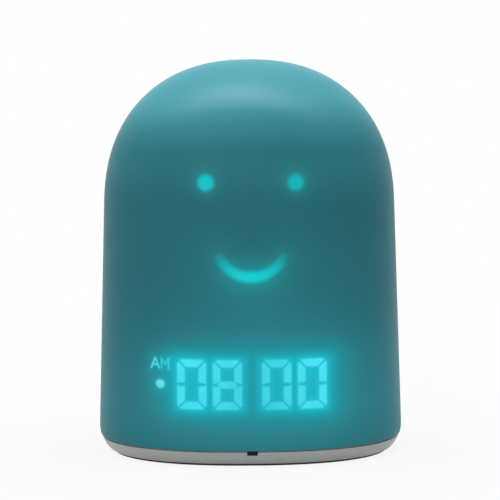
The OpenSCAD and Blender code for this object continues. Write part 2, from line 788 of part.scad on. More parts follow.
module digit_diffuser() {
    side = board_low_w - 1;
    color(cyan_light)
    intersection() {
        translate([0, 0, mask_z + 0.4]) linear_extrude(mask_h - 0.8) difference() {
            plan(mask_z + mask_h, shell_t + film_gap);
            plan(mask_z + mask_h, shell_t + film_gap + film_t);
        }
        translate([-side, front_y, mask_z]) cube([2 * side, display_setback - film_t, mask_h]);
    }
}

// The smile: an arc with round ends, w wide, about its own centre
module smile(w) {
    far = 3 * smile_r;
    tip = [sin(smile_angle), -cos(smile_angle)];
    intersection() {
        difference() {
            circle(smile_r + w / 2, $fn = 96);
            circle(smile_r - w / 2, $fn = 96);
        }
        polygon([[0, 0], [-far * tip[0], far * tip[1]], [-far * tip[0], -2 * far],
            [far * tip[0], -2 * far], [far * tip[0], far * tip[1]]]);
    }
    for (side = [-1, 1]) translate([side * smile_r * tip[0], smile_r * tip[1]]) circle(w / 2);
}

// Two light tubes for the eyes and a curved channel for the smile, on one plate
module face_mask() {
    smile_centre_z = smile_z + smile_r;
    eye_r = eye_d / 2;
    smile_front_y = inside_front_y(smile_r + smile_w, smile_centre_z, shell_t) + film_gap + film_t;
    eye_front_y = inside_front_y(eye_pitch / 2 + eye_r + mask_wall, eye_z + eye_r + mask_wall, shell_t)
        + film_gap + film_t;
    color(white)
    difference() {
        union() {
            slab(board_face_y - face_plate_t, face_plate_t) {
                translate([0, eye_z - 2]) square([eye_pitch, 6], center = true);
                translate([-3, smile_z]) square([6, eye_z - smile_z]);
            }
            slab(eye_front_y, board_face_y - eye_front_y)
                for (x = eye_xs) translate([x, eye_z]) circle(eye_r + mask_wall);
            slab(smile_front_y, board_face_y - smile_front_y) translate([0, smile_centre_z])
                smile(smile_w + 2 * mask_wall);
        }
        slab(front_y, display_setback + over) {
            for (x = eye_xs) translate([x, eye_z]) circle(eye_r);
            translate([0, smile_centre_z]) smile(smile_w);
        }
        for (p = board_screw_points) if (p[1] > low_z)
            rod(p[0], p[1], small_screw_r, board_face_y - face_plate_t - over, board_face_y + over);
    }
}

// A lamp chip on the face of the display board, its middle at x and z
module face_chip(x, z, turn) translate([x, board_face_y, z]) rotate([0, turn, 0])
    translate([-lamp_chip[0] / 2, -lamp_chip[1], -lamp_chip[2] / 2]) cube(lamp_chip);

module digit_lamps() {
    color(cyan_light) {
        for (x = digit_xs, b = bars) face_chip(x + b[0], digit_z + b[1], b[2]);
        for (z = [label_z, digit_z]) face_chip(label_x, z, 0);
    }
}

module face_lamps() {
    color(cyan_light) {
        for (x = eye_xs) face_chip(x, eye_z, 0);
        for (a = [-1, 0, 1] * smile_angle * 0.6)
            face_chip(smile_r * sin(a), smile_z + smile_r * (1 - cos(a)), -a);
    }
}

// ---- Night light ----

module lamp_board() {
    color(white)
    translate([0, lamp_y, shelf_z]) difference() {
        cylinder(r = lamp_board_r, h = pcb_t, $fn = 96);
        for (side = [-1, 1]) translate([side * lead_pitch / 2, 0, -over])
            cylinder(r = 0.4, h = pcb_t + 2 * over, $fn = 16);
    }
}

module night_lamps() {
    color(warm_light)
    translate([0, lamp_y, shelf_z + pcb_t]) for (i = [0 : lamp_count - 1]) rotate(360 * i / lamp_count)
        translate([lamp_ring_r - lamp_side / 2, -lamp_side / 2, 0]) difference() {
            cube([lamp_side, lamp_side, lamp_h]);
            translate([lamp_side / 2, lamp_side / 2, lamp_h - 0.3])
                cylinder(r = lamp_side * 0.36, h = over);
        }
}

// A shallow white dish that stands on the rim of the lamp board
module lamp_reflector() {
    rim = lamp_board_r - 1.6;
    color(white)
    translate([0, lamp_y, shelf_z + pcb_t]) rotate_extrude($fn = 96)
        polygon([[rim, 0], [rim + 4.8, 6], [rim + 5.8, 6], [rim + 1.4, 0]]);
}

// ---- Main board ----

module main_board() {
    color(board_green)
    translate([0, main_y, main_z]) linear_extrude(pcb_t) difference() {
        rounded(main_w, main_d, 2);
        for (p = main_screw_points) translate([p[0], p[1] - main_y]) circle(small_screw_r + run_gap);
    }
}

module main_board_screws() {
    color(steel)
    for (p = main_screw_points) translate([p[0], p[1], main_top_z])
        screw(small_screw_r, pcb_t + main_z - floor_z - 0.6, small_head_r, small_head_h);
}

// The wireless module: a small board at the left edge, under a steel can
module radio_module() {
    board = [18, 12, 0.8];
    can = [12.6, 10.4, 1.8];
    color(steel)
    translate([1 - main_w / 2, main_y - board[1] / 2, main_top_z]) {
        cube(board);
        translate([board[0] - can[0] - 0.9, (board[1] - can[1]) / 2, board[2]]) cube(can);
    }
}

// A flat chip on the main board, its middle at x from the middle and y from the board's own
module chip(x, y, size)
    translate([x - size[0] / 2, main_y + y - size[1] / 2, main_top_z]) cube(size);

module logic_chips() {
    memory_x = main_w / 2 - 17;
    color(black) {
        chip(-0.5, 0.5, [9, 9, 1.1]);
        chip(memory_x, -main_d * 0.1, [6, 5, 1.3]);
        chip(memory_x, main_d * 0.13, [5, 4, 1.1]);
    }
}

module capacitors() {
    can_r = 3;
    can_h = 7;
    color(black)
    for (i = [0, 1]) translate([main_w / 2 - can_r - 1.5 - i * (2 * can_r + 0.5), main_y + 3, main_top_z])
        cylinder(r = can_r, h = can_h);
}

// Sockets on the boards: x, y and w of those on the main board, then one on each other board
module board_connectors() {
    color(white) {
        for (c = [[0, main_connector_y[0], 13], [0, main_connector_y[1], 9],
                [battery_lead_x, main_connector_y[0], 5], [speaker_lead_x, main_connector_y[1], 5]])
            translate([c[0] - c[2] / 2, c[1] - 2, main_top_z]) cube([c[2], 4, connector_h]);
        translate([-7, board_back_y, display_socket_z]) cube([14, 1.2, 3.6]);
        translate([-5, control_back_y - 1.2, control_socket_z]) cube([10, 1.2, 4]);
    }
}

module microphone_boot() {
    color(rubber_grey)
    difference() {
        translate([-4, microphone_y, floor_z]) cube([8, 5, 5.2]);
        rod(0, microphone_z, microphone_d / 2, microphone_y - over, microphone_y + 3.4);
        rod(0, microphone_z, 1.2, microphone_y - over, microphone_y + 6);
    }
}

module microphone() {
    color(steel)
    rod(0, microphone_z, microphone_d / 2 - 0.05, microphone_y + 1.4, microphone_y + 3.3);
}

// ---- Battery ----

module battery() {
    color(battery_blue)
    slab(chassis_back_y, battery_t) translate([0, battery_z + battery_h / 2])
        rounded(battery_w, battery_h, 2);
}

// A strap over the battery with a foot at each side
module battery_bracket() {
    inner = battery_w / 2 + fit_gap;
    outer = inner + bracket_t;
    color(steel)
    difference() {
        translate([0, 0, bracket_z - bracket_w / 2]) linear_extrude(bracket_w) difference() {
            union() {
                translate([-outer, chassis_back_y]) square([2 * outer, battery_t + fit_gap + bracket_t]);
                translate([-outer - bracket_foot, chassis_back_y])
                    square([2 * (outer + bracket_foot), bracket_t]);
            }
            translate([-inner, chassis_back_y - over]) square([2 * inner, battery_t + fit_gap + over]);
        }
        for (side = [-1, 1])
            rod(side * bracket_screw_x, bracket_z, small_screw_r + run_gap,
                chassis_back_y - over, chassis_back_y + bracket_t + over);
    }
}

// ---- Control board, buttons, switch and socket ----

module control_board() {
    color(board_green)
    slab(control_back_y, pcb_t) difference() {
        translate([0, (control_bottom_z + control_top_z) / 2])
            rounded(2 * control_half_w, control_top_z - control_bottom_z, 2);
        for (p = control_posts) translate(p) circle(small_screw_r + run_gap);
    }
}

module control_screws() {
    color(steel)
    for (p = control_posts) translate([p[0], control_back_y, p[1]]) rotate([90, 0, 0])
        screw(small_screw_r, pcb_t + panel_back_y - control_face_y - 0.8, small_head_r, small_head_h);
}

module tact_switches() {
    bore_y = tact_top_y - plunger_sunk - button_travel - 0.2;
    color(black)
    for (x = [-button_pitch, 0, button_pitch]) difference() {
        slab(control_face_y, tact_h) translate([x, button_z]) square(tact_w, center = true);
        rod(x, button_z, plunger_r + 0.2, bore_y, tact_top_y + over);
    }
}

module tact_covers() {
    color(steel)
    for (x = [-button_pitch, 0, button_pitch]) difference() {
        slab(tact_top_y - tact_cover_t, tact_cover_t) translate([x, button_z])
            square(tact_w, center = true);
        rod(x, button_z, plunger_r + 0.4, tact_top_y - over, tact_top_y + over);
    }
}

// A button: a flange behind the panel, and in front of it a cap with a soft edge and a dished face
module button(x) {
    cap_y = panel_face_y + button_proud;
    dish_r = button_d * 1.8;
    turned(x, button_z) {
        translate([0, button_flange_y]) square([button_d / 2 + flange_lip, flange_t]);
        difference() {
            union() {
                translate([0, button_flange_y]) square([button_d / 2, cap_y - cap_edge - button_flange_y]);
                translate([0, cap_y - 2 * cap_edge]) square([button_d / 2 - cap_edge, 2 * cap_edge]);
                translate([button_d / 2 - cap_edge, cap_y - cap_edge]) circle(cap_edge);
            }
            translate([0, cap_y + dish_r - dish_depth]) circle(dish_r, $fn = 96);
            translate([-button_d, button_flange_y - over]) square([button_d, cap_y]);
        }
    }
}

// From behind, the row reads minus, play, plus from left to right
module minus_button() color(pale_grey) button(button_pitch);
module play_button() color(pale_grey) button(0);
module plus_button() color(pale_grey) button(-button_pitch);

module plunger(x) color(black) rod(x, button_z, plunger_r, tact_top_y - plunger_sunk, button_flange_y);
module minus_plunger() plunger(button_pitch);
module play_plunger() plunger(0);
module plus_plunger() plunger(-button_pitch);

module switch_body() {
    color(steel)
    difference() {
        slab(control_face_y, switch_top_y - control_face_y) translate([-socket_x, socket_z])
            square(switch_can, center = true);
        slab(switch_top_y - 1.4, 1.4 + over) translate([-socket_x, socket_z])
            square([knob_stem[0] + switch_travel, knob_stem[1]] + [1, 1] * 2 * run_gap, center = true);
    }
}

// The knob: a stem in the switch, a flange that closes the slot, and a ridged finger piece
module power_knob() {
    face_y = panel_face_y + knob_proud;
    color(black)
    translate([knob_at, 0, socket_z]) difference() {
        union() {
            slab(switch_top_y - 1, knob_flange_y - switch_top_y + 1.2) square(knob_stem, center = true);
            slab(knob_flange_y, knob_flange_t)
                square([2 * slot_half + switch_travel + 2 * run_gap, knob_flange_h], center = true);
            slab(knob_flange_y, face_y - knob_flange_y) square([knob_w, knob_h], center = true);
        }
        for (i = [-1 : 1]) translate([i - 0.2, face_y - 0.3, -knob_h]) cube([0.4, over, 2 * knob_h]);
    }
}

module usb_shell() {
    color(steel)
    slab(control_face_y, usb_face_y - control_face_y) translate([socket_x, socket_z]) difference() {
        rounded(usb_w, usb_h, 0.8);
        rounded(usb_w - 2 * usb_wall, usb_h - 2 * usb_wall, 0.5);
    }
}

module usb_tongue() {
    color(black) {
        slab(control_face_y, 1.6) translate([socket_x, socket_z])
            rounded(usb_w - 2 * usb_wall - 0.1, usb_h - 2 * usb_wall - 0.1, 0.4);
        slab(control_face_y + 1.5, usb_face_y - control_face_y - 2.5) translate([socket_x, socket_z + 0.3])
            square([usb_w * 0.5, 0.6], center = true);
    }
}

// ---- Loudspeaker ----

module speaker_gasket() {
    color(black)
    turned(0, arch_z) translate([speaker_r - rim_w, rim_y]) square([rim_w, gasket_t]);
}

// The basket: a rim, four struts and a floor on the magnet
module speaker_basket() {
    wall_top = speaker_r - rim_w;
    hole_r = gap_r + 0.4;
    step_r = basket_floor_r - 1;
    lean = (wall_top - basket_floor_r) / (surround_y - basket_y);
    color(black)
    difference() {
        turned(0, arch_z) polygon([
            [hole_r, basket_y], [basket_floor_r + basket_t, basket_y], [wall_top + basket_t, surround_y],
            [wall_top + basket_t, rim_y - rim_t], [speaker_r, rim_y - rim_t], [speaker_r, rim_y],
            [wall_top, rim_y], [wall_top, surround_y],
            [basket_floor_r + lean * (spider_y - basket_y), spider_y],
            [step_r, spider_y], [step_r, basket_y + basket_t], [hole_r, basket_y + basket_t]]);
        for (a = [0 : 90 : 270]) translate([0, 0, arch_z]) rotate([0, a + 45, 0])
            translate([basket_floor_r - 3, spider_y + 1, -window_w / 2])
                cube([speaker_r, surround_y - spider_y - 1.6, window_w]);
    }
}

module speaker_yoke() {
    color(steel) {
        rod(0, arch_z, magnet_r - 0.5, speaker_back_y, speaker_back_y + plate_t);
        rod(0, arch_z, pole_r, speaker_back_y + plate_t / 2, basket_y);
    }
}

module speaker_magnet() {
    color(black)
    turned(0, arch_z) translate([gap_r + 1, speaker_back_y + plate_t])
        square([magnet_r - gap_r - 1, magnet_h]);
}

module speaker_top_plate() {
    color(steel)
    turned(0, arch_z) translate([gap_r, gap_y]) square([magnet_r - gap_r, plate_t]);
}

module voice_coil() {
    color(copper)
    turned(0, arch_z) translate([coil_r - coil_t, gap_y - 1]) square([coil_t, neck_y - gap_y + 1.6]);
}

// The cone with its dust cap, held on the outside of the coil
module speaker_cone() {
    cap_r = coil_r + 1.4;
    cap_h = 1.6;
    sphere_r = (cap_r * cap_r + cap_h * cap_h) / (2 * cap_h);
    cap_y = neck_y + 1.4 * (cone_y - neck_y) / (cone_r - coil_r);
    color(rubber_grey)
    turned(0, arch_z) {
        polygon([[coil_r, neck_y - cone_t], [coil_r + 0.6, neck_y - cone_t], [cone_r, cone_y - cone_t],
            [cone_r, cone_y], [coil_r, neck_y + cone_t]]);
        intersection() {
            translate([0, cap_y + cap_h - sphere_r]) difference() {
                circle(sphere_r, $fn = 96);
                circle(sphere_r - 0.35, $fn = 96);
            }
            translate([0, cap_y - 0.3]) square([cap_r + 0.1, cap_h + 0.3]);
        }
    }
}

// The surround: a half roll between the cone's edge and the basket's rim
module speaker_surround() {
    outer_r = speaker_r - rim_w;
    roll_r = (outer_r - cone_r) / 2 - 0.35;
    roll_t = 0.3;
    middle = (outer_r + cone_r) / 2;
    color(black)
    turned(0, arch_z) intersection() {
        translate([cone_r, surround_y]) square([outer_r - cone_r, roll_r]);
        union() {
            translate([middle, surround_y]) difference() {
                circle(roll_r);
                circle(roll_r - roll_t);
            }
            for (x = [cone_r, middle + roll_r - roll_t]) translate([x, surround_y])
                square([outer_r - middle - roll_r + roll_t, roll_t]);
        }
    }
}

module speaker_spider() {
    color(copper)
    turned(0, arch_z) translate([coil_r, spider_y]) square([basket_floor_r - coil_r, 0.3]);
}

// ---- Cables ----

module display_ribbon() {
    run_z = chassis_foot_z + 4.4;
    behind_y = board_back_y + 0.7;
    color(warm_light)
    ribbon([[main_connector_y[0] - 2, run_z], [behind_y + 0.6, run_z],
        [behind_y, run_z + 0.6], [behind_y, display_socket_z]], 12);
}

module control_ribbon() {
    down_y = control_back_y - 0.6;
    over_z = main_top_z + connector_h + 1.6;
    color(warm_light)
    ribbon([[down_y, control_socket_z], [down_y, over_z + 1], [down_y - 1, over_z],
        [main_connector_y[1] + 1, over_z], [main_connector_y[1], over_z - 1],
        [main_connector_y[1], main_top_z + connector_h]], 8);
}

module speaker_leads() {
    start = [speaker_lead_x * 0.5, basket_y + 0.4, arch_z - basket_floor_r - basket_t];
    color(copper)
    leads([[speaker_lead_x, main_connector_y[1], main_top_z + connector_h],
        [speaker_lead_x, main_connector_y[1], main_top_z + connector_h + 4],
        [speaker_lead_x, main_connector_y[1] + 3, arch_z - speaker_r - 6],
        [start[0], basket_y - 3, arch_z - basket_floor_r - 3]]);
}

module battery_leads() {
    y = chassis_back_y + battery_t / 2;
    run_z = main_top_z + connector_h / 2;
    color(copper)
    leads([[battery_lead_x, y, battery_z], [battery_lead_x, y, run_z],
        [battery_lead_x, main_connector_y[0] - 2, run_z]]);
}

module lamp_leads() {
    run_z = shelf_z - lead_drop;
    color(copper)
    leads([[0, lamp_y, shelf_z], [0, lamp_y, run_z], [0, board_back_y, run_z]]);
}

module microphone_leads() {
    y = microphone_y + 5;
    end_y = main_y - main_d / 2 + 1;
    color(copper)
    leads([[0, y, microphone_z], [0, end_y, microphone_z], [0, end_y, main_z]]);
}

shell();
base_tray();
foot_ring();
shell_frame();
base_screws();
rear_panel();
panel_screws();
grille_cloth();
chassis();
chassis_screws();
display_board();
board_screws();
digit_mask();
face_mask();
digit_diffuser();
digit_lamps();
face_lamps();
lamp_board();
lamp_reflector();
night_lamps();
main_board();
main_board_screws();
radio_module();
logic_chips();
capacitors();
board_connectors();
microphone();
microphone_boot();
microphone_leads();
battery();
battery_bracket();
control_board();
control_screws();
tact_switches();
tact_covers();
minus_button();
play_button();
plus_button();
minus_plunger();
play_plunger();
plus_plunger();
switch_body();
power_knob();
usb_shell();
usb_tongue();
speaker_gasket();
speaker_basket();
speaker_yoke();
speaker_magnet();
speaker_top_plate();
speaker_surround();
speaker_spider();
speaker_cone();
voice_coil();
display_ribbon();
control_ribbon();
speaker_leads();
battery_leads();
lamp_leads();
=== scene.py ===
"""The looks of a children's alarm clock with a night light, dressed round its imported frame.

The clock stands at the origin and faces -Y. Sizes are in millimetres, and a mesh is scaled
to metres when it becomes a piece of the scene.
"""

import logging
import math
from abc import ABC, abstractmethod
from collections.abc import Callable, Sequence
from dataclasses import dataclass, field
from enum import Enum

import bmesh
import bpy
from mathutils import Matrix, Quaternion, Vector


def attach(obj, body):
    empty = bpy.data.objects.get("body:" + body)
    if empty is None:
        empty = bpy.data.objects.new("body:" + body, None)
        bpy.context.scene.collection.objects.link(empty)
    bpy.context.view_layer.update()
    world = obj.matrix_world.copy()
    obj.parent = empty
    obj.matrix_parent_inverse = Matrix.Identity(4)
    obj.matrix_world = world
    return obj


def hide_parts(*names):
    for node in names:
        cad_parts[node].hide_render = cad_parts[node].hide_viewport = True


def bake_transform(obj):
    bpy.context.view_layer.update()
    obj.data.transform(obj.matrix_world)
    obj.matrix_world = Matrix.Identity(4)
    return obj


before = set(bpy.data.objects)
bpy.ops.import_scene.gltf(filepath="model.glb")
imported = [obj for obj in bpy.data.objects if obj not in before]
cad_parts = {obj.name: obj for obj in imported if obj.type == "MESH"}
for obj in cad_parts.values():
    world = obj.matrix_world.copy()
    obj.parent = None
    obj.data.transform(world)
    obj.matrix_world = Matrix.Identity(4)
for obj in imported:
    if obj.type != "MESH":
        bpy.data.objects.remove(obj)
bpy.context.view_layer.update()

MM_PER_M = 1000.0
# In millimetres: how close vertices of a carved solid are joined, and a corner's least radius.
WELD = 1e-4
SHARPEST = 0.01

Point = tuple[float, float]
Colour = tuple[float, float, float, float]

log = logging.getLogger("clock")


# ---- Shader graphs ----


def math_method(operation: str, turned: bool = False) -> Callable[..., "Signal"]:
    """Makes a method that combines a signal with another value.

    Args:
        operation: The Math node's operation.
        turned: Whether the other value comes first.

    Returns:
        The method, which adds one Math node.
    """

    def combine(signal: "Signal", other: "Signal | float") -> "Signal":
        """Returns the operation's result."""
        return signal.graph.math(operation, *((other, signal) if turned else (signal, other)))

    return combine


class Signal:
    """A number that varies over a surface. Its operators add Math nodes to its graph."""

    __add__, __radd__ = math_method("ADD"), math_method("ADD", turned=True)
    __sub__, __rsub__ = math_method("SUBTRACT"), math_method("SUBTRACT", turned=True)
    __mul__, __rmul__ = math_method("MULTIPLY"), math_method("MULTIPLY", turned=True)
    __pow__, __rpow__ = math_method("POWER"), math_method("POWER", turned=True)
    __truediv__ = math_method("DIVIDE")
    least, most = math_method("MINIMUM"), math_method("MAXIMUM")

    def __init__(self, graph: "Graph", socket: bpy.types.NodeSocket) -> None:
        """Wraps a socket.

        Args:
            graph: The graph that the socket belongs to.
            socket: An output that carries a number.
        """
        self.graph = graph
        self.socket = socket

    def __neg__(self) -> "Signal":
        """Returns the signal with its sign turned."""
        return self * -1.0

    def __abs__(self) -> "Signal":
        """Returns the size of the signal without its sign."""
        return self.graph.math("ABSOLUTE", self)

    def eased(self, low: float, high: float) -> "Signal":
        """Maps the signal to a smooth step.

        Args:
            low: Where the step starts from 0.
            high: Where the step reaches 1. It may be the lower of the two.

        Returns:
            A signal from 0 to 1.
        """
        if low < high:
            return self.graph.smooth_step(self, low, high)
        return 1 - self.graph.smooth_step(self, high, low)


class Graph:
    """The node tree of a material or of the world."""

    def __init__(self, owner: bpy.types.Material | bpy.types.World) -> None:
        """Empties a tree and starts to fill it.

        Args:
            owner: The material or world that the tree belongs to.
        """
        self.owner = owner
        owner.use_nodes = True
        self.tree = owner.node_tree
        self.tree.nodes.clear()

    def node(
        self,
        kind: str,
        settings: dict[str, object] | None = None,
        inputs: dict[int | str, object] | None = None,
    ) -> bpy.types.Node:
        """Adds a node of any kind.

        Args:
            kind: The node's type.
            settings: Properties such as an operation, which are set first.
            inputs: Values or links by socket name or number.

        Returns:
            The new node.
        """
        made = self.tree.nodes.new(kind)
        for name, value in (settings or {}).items():
            setattr(made, name, value)
        for name, value in (inputs or {}).items():
            source = value.socket if isinstance(value, Signal) else value
            if isinstance(source, bpy.types.NodeSocket):
                self.tree.links.new(source, made.inputs[name])
            else:
                made.inputs[name].default_value = source
        return made

    def math(self, operation: str, *values: Signal | float) -> Signal:
        """Returns the result of one Math node on the values."""
        node = self.node("ShaderNodeMath", {"operation": operation}, dict(enumerate(values)))
        return Signal(self, node.outputs[0])

    def smooth_step(self, value: Signal, low: float, high: float) -> Signal:
        """Adds a smooth step.

        Args:
            value: What it depends on.
            low: Where it starts from 0.
            high: Where it reaches 1.

        Returns:
            The step, from 0 to 1.
        """
        node = self.node(
            "ShaderNodeMapRange",
            {"interpolation_type": "SMOOTHSTEP"},
            {"Value": value, "From Min": low, "From Max": high},
        )
        return Signal(self, node.outputs[0])

    def vector(
        self, operation: str, first: object, second: object, socket: int | str = 1
    ) -> bpy.types.NodeSocket:
        """Returns the result of one Vector Math node. Its second value goes into the socket."""
        inputs = {0: first, socket: second}
        return self.node("ShaderNodeVectorMath", {"operation": operation}, inputs).outputs[0]

    def place(self) -> bpy.types.NodeSocket:
        """Returns the point on the piece, in millimetres from the origin."""
        point = self.node("ShaderNodeTexCoord").outputs["Object"]
        return self.vector("MULTIPLY", point, (MM_PER_M, MM_PER_M, MM_PER_M))

    def axes(self, point: bpy.types.NodeSocket) -> tuple[Signal, Signal, Signal]:
        """Returns a point's X, Y and Z."""
        split = self.node("ShaderNodeSeparateXYZ", inputs={0: point})
        return tuple(Signal(self, socket) for socket in split.outputs)

    def scaled(self, colour: Colour, amount: Signal) -> bpy.types.NodeSocket:
        """Returns a colour as bright as the signal says."""
        return self.vector("SCALE", colour[:3], amount, "Scale")

    def mix(
        self,
        factor: Signal,
        first: Colour | bpy.types.NodeSocket,
        second: Colour | bpy.types.NodeSocket,
    ) -> bpy.types.NodeSocket:
        """Blends two colours.

        Args:
            factor: How much of the second colour shows, from 0 to 1.
            first: A colour.
            second: Another.

        Returns:
            The blend.
        """
        inputs = {0: factor, 6: first, 7: second}
        return self.node("ShaderNodeMix", {"data_type": "RGBA"}, inputs).outputs[2]

    def noise(self, point: bpy.types.NodeSocket, size: float, detail: float = 2.0) -> Signal:
        """Adds soft noise from 0 to 1.

        Args:
            point: Where on the piece, in millimetres.
            size: The width of its blotches.
            detail: How many finer layers it has.

        Returns:
            The noise.
        """
        inputs = {"Vector": point, "Scale": 1 / size, "Detail": detail}
        return Signal(self, self.node("ShaderNodeTexNoise", inputs=inputs).outputs[0])

    def cells(self, point: bpy.types.NodeSocket, size: float) -> Signal:
        """Returns the distance to the nearest of scattered points, in parts of their pitch."""
        node = self.node("ShaderNodeTexVoronoi", inputs={"Vector": point, "Scale": 1 / size})
        return Signal(self, node.outputs["Distance"])

    def wave(self, value: Signal, length: float) -> Signal:
        """Returns a sine wave along a signal, from 0 to 1."""
        return self.math("SINE", value * (2 * math.pi / length)) * 0.5 + 0.5

    def bump(self, height: Signal, depth: float) -> bpy.types.NodeSocket:
        """Adds relief.

        Args:
            height: The relief, from 0 to 1.
            depth: What 1 stands for, in millimetres.

        Returns:
            The normal that follows it.
        """
        inputs = {"Height": height, "Distance": depth / MM_PER_M}
        return self.node("ShaderNodeBump", inputs=inputs).outputs["Normal"]


# ---- Finishes ----


@dataclass(frozen=True)
class Finish(ABC):
    """What a piece's surface is like."""

    name: str

    def material(self) -> bpy.types.Material:
        """Returns the finish's material, which is made the first time."""
        known = bpy.data.materials.get(self.name)
        if known:
            return known
        graph = Graph(bpy.data.materials.new(self.name))
        shader = graph.node("ShaderNodeBsdfPrincipled", inputs=self.surface(graph))
        graph.node("ShaderNodeOutputMaterial", inputs={"Surface": shader.outputs["BSDF"]})
        return graph.owner

    @abstractmethod
    def surface(self, graph: Graph) -> dict[str, object]:
        """Draws the surface.

        Args:
            graph: The graph that the nodes go into.

        Returns:
            The shader's inputs by name.
        """


@dataclass(frozen=True)
class Moulded(Finish):
    """Plastic from a spark-eroded mould: a fine even grain with slight flow marks."""

    tone: Colour
    roughness: float = 0.5
    grain: float = 0.35
    grain_depth: float = 0.008
    flow: float = 22.0
    marks: float = 0.06

    def surface(self, graph: Graph) -> dict[str, object]:
        """Draws plastic with a fine grain.

        Args:
            graph: The graph that the nodes go into.

        Returns:
            The shader's inputs by name.
        """
        point = graph.place()
        flow = graph.noise(point, self.flow)
        grain = graph.noise(point, self.grain, 3.0)
        dark, light = (
            tuple(min(value * share, 1.0) for value in self.tone[:3]) + (1.0,)
            for share in (1 - self.marks, 1 + self.marks)
        )
        return {
            "Base Color": graph.mix(flow * 0.7 + grain * 0.3, dark, light),
            "Roughness": self.roughness + (flow - 0.5) * 0.12 + (grain - 0.5) * 0.08,
            "Normal": graph.bump(grain, self.grain_depth),
        }


@dataclass(frozen=True)
class Rubber(Finish):
    """Soft rubber with a dull skin and a little dust in its pores."""

    tone: Colour
    dust: Colour = (0.16, 0.16, 0.155, 1.0)
    pore: float = 0.6
    patch: float = 3.0

    def surface(self, graph: Graph) -> dict[str, object]:
        """Draws a dull skin with pores.

        Args:
            graph: The graph that the nodes go into.

        Returns:
            The shader's inputs by name.
        """
        point = graph.place()
        pores = graph.cells(point, self.pore)
        dust = graph.noise(point, self.patch, 4.0).eased(0.55, 0.8)
        return {
            "Base Color": graph.mix(dust * 0.35, self.tone, self.dust),
            "Roughness": 0.78 + pores * 0.12,
            "Normal": graph.bump(pores, 0.03),
        }


@dataclass(frozen=True)
class Metal(Finish):
    """Rolled or turned metal with fine lines along X."""

    tone: Colour = (0.62, 0.63, 0.65, 1.0)
    worn: Colour = (0.46, 0.47, 0.49, 1.0)
    roughness: float = 0.3
    stretch: tuple[float, float, float] = (0.15, 4.0, 4.0)
    film: float = 2.5

    def surface(self, graph: Graph) -> dict[str, object]:
        """Draws metal with fine lines.

        Args:
            graph: The graph that the nodes go into.

        Returns:
            The shader's inputs by name.
        """
        point = graph.place()
        lines = graph.noise(graph.vector("MULTIPLY", point, self.stretch), 1.0, 3.0)
        film = graph.noise(point, self.film)
        return {
            "Base Color": graph.mix(lines * 0.6 + film * 0.4, self.worn, self.tone),
            "Metallic": 1.0,
            "Roughness": self.roughness + (lines - 0.5) * 0.16 + (film - 0.5) * 0.1,
            "Normal": graph.bump(lines, 0.006),
        }


@dataclass(frozen=True)
class CircuitBoard(Finish):
    """A lacquered circuit board with tracks under the lacquer and bare plated holes."""

    lacquer: Colour
    track: Colour
    plating: Colour = (0.80, 0.62, 0.28, 1.0)
    block: float = 4.8
    tracks_per_block: float = 6.25
    hole_pitch: float = 3.84
    hole: Point = (0.13, 0.1)

    def surface(self, graph: Graph) -> dict[str, object]:
        """Draws tracks and plated holes.

        Args:
            graph: The graph that the nodes go into.

        Returns:
            The shader's inputs by name.
        """
        point = graph.place()
        blocky = graph.node(
            "ShaderNodeTexVoronoi",
            {"distance": "CHEBYCHEV", "feature": "F2"},
            {"Vector": point, "Scale": 1 / self.block},
        )
        steps = Signal(graph, blocky.outputs["Distance"])
        tracks = graph.wave(steps, 1 / self.tracks_per_block).eased(0.5, 0.7)
        holes = graph.cells(point, self.hole_pitch).eased(*self.hole)
        base = graph.mix(tracks, self.lacquer, self.track)
        return {
            "Base Color": graph.mix(holes, base, self.plating),
            "Metallic": holes,
            "Roughness": 0.34 - holes * 0.1 + graph.noise(point, 6.0) * 0.1,
            "Normal": graph.bump(tracks.most(holes), 0.03),
        }


@dataclass(frozen=True)
class Lit(Finish):
    """A lamp or a film that light comes out of."""

    tone: Colour
    glow: Colour
    strength: float
    patch: float = 3.0

    def surface(self, graph: Graph) -> dict[str, object]:
        """Draws a frosted surface with an uneven glow.

        Args:
            graph: The graph that the nodes go into.

        Returns:
            The shader's inputs by name.
        """
        point = graph.place()
        patches = graph.noise(point, self.patch)
        return {
            "Base Color": graph.mix(patches * 0.2, self.tone, self.glow),
            "Roughness": 0.4 + patches * 0.15,
            "Emission Color": graph.scaled(self.glow, (0.7 + patches * 0.6) * self.strength),
            "Emission Strength": 1.0,
        }


@dataclass(frozen=True)
class Woven(Finish):
    """Cloth of round threads that pass over and under each other."""

    thread: Colour
    shade: Colour
    pitch: float = 0.5

    def surface(self, graph: Graph) -> dict[str, object]:
        """Draws a plain weave in X and Z.

        Args:
            graph: The graph that the nodes go into.

        Returns:
            The shader's inputs by name.
        """
        x, _, z = graph.axes(graph.place())
        across = graph.wave(x, self.pitch)
        along = graph.wave(z, self.pitch)
        checks = graph.wave(x, self.pitch * 2) * graph.wave(z, self.pitch * 2)
        relief = across.most(along) * (0.6 + checks * 0.4)
        return {
            "Base Color": graph.mix(relief, self.shade, self.thread),
            "Roughness": 0.95 - relief * 0.1,
            "Normal": graph.bump(relief, 0.1),
        }


@dataclass(frozen=True)
class Porous(Finish):
    """Foam, pressed paper or sintered ferrite: a dull body with a speckled skin."""

    tone: Colour
    fleck: Colour
    cell: float
    depth: float
    roughness: float = 0.85

    def surface(self, graph: Graph) -> dict[str, object]:
        """Draws a speckled skin.

        Args:
            graph: The graph that the nodes go into.

        Returns:
            The shader's inputs by name.
        """
        point = graph.place()
        cells = graph.cells(point, self.cell)
        cloud = graph.noise(point, self.cell * 5, 4.0)
        return {
            "Base Color": graph.mix(cells * 0.5 + cloud * 0.5, self.tone, self.fleck),
            "Roughness": self.roughness + (cloud - 0.5) * 0.15,
            "Normal": graph.bump(cells, self.depth),
        }


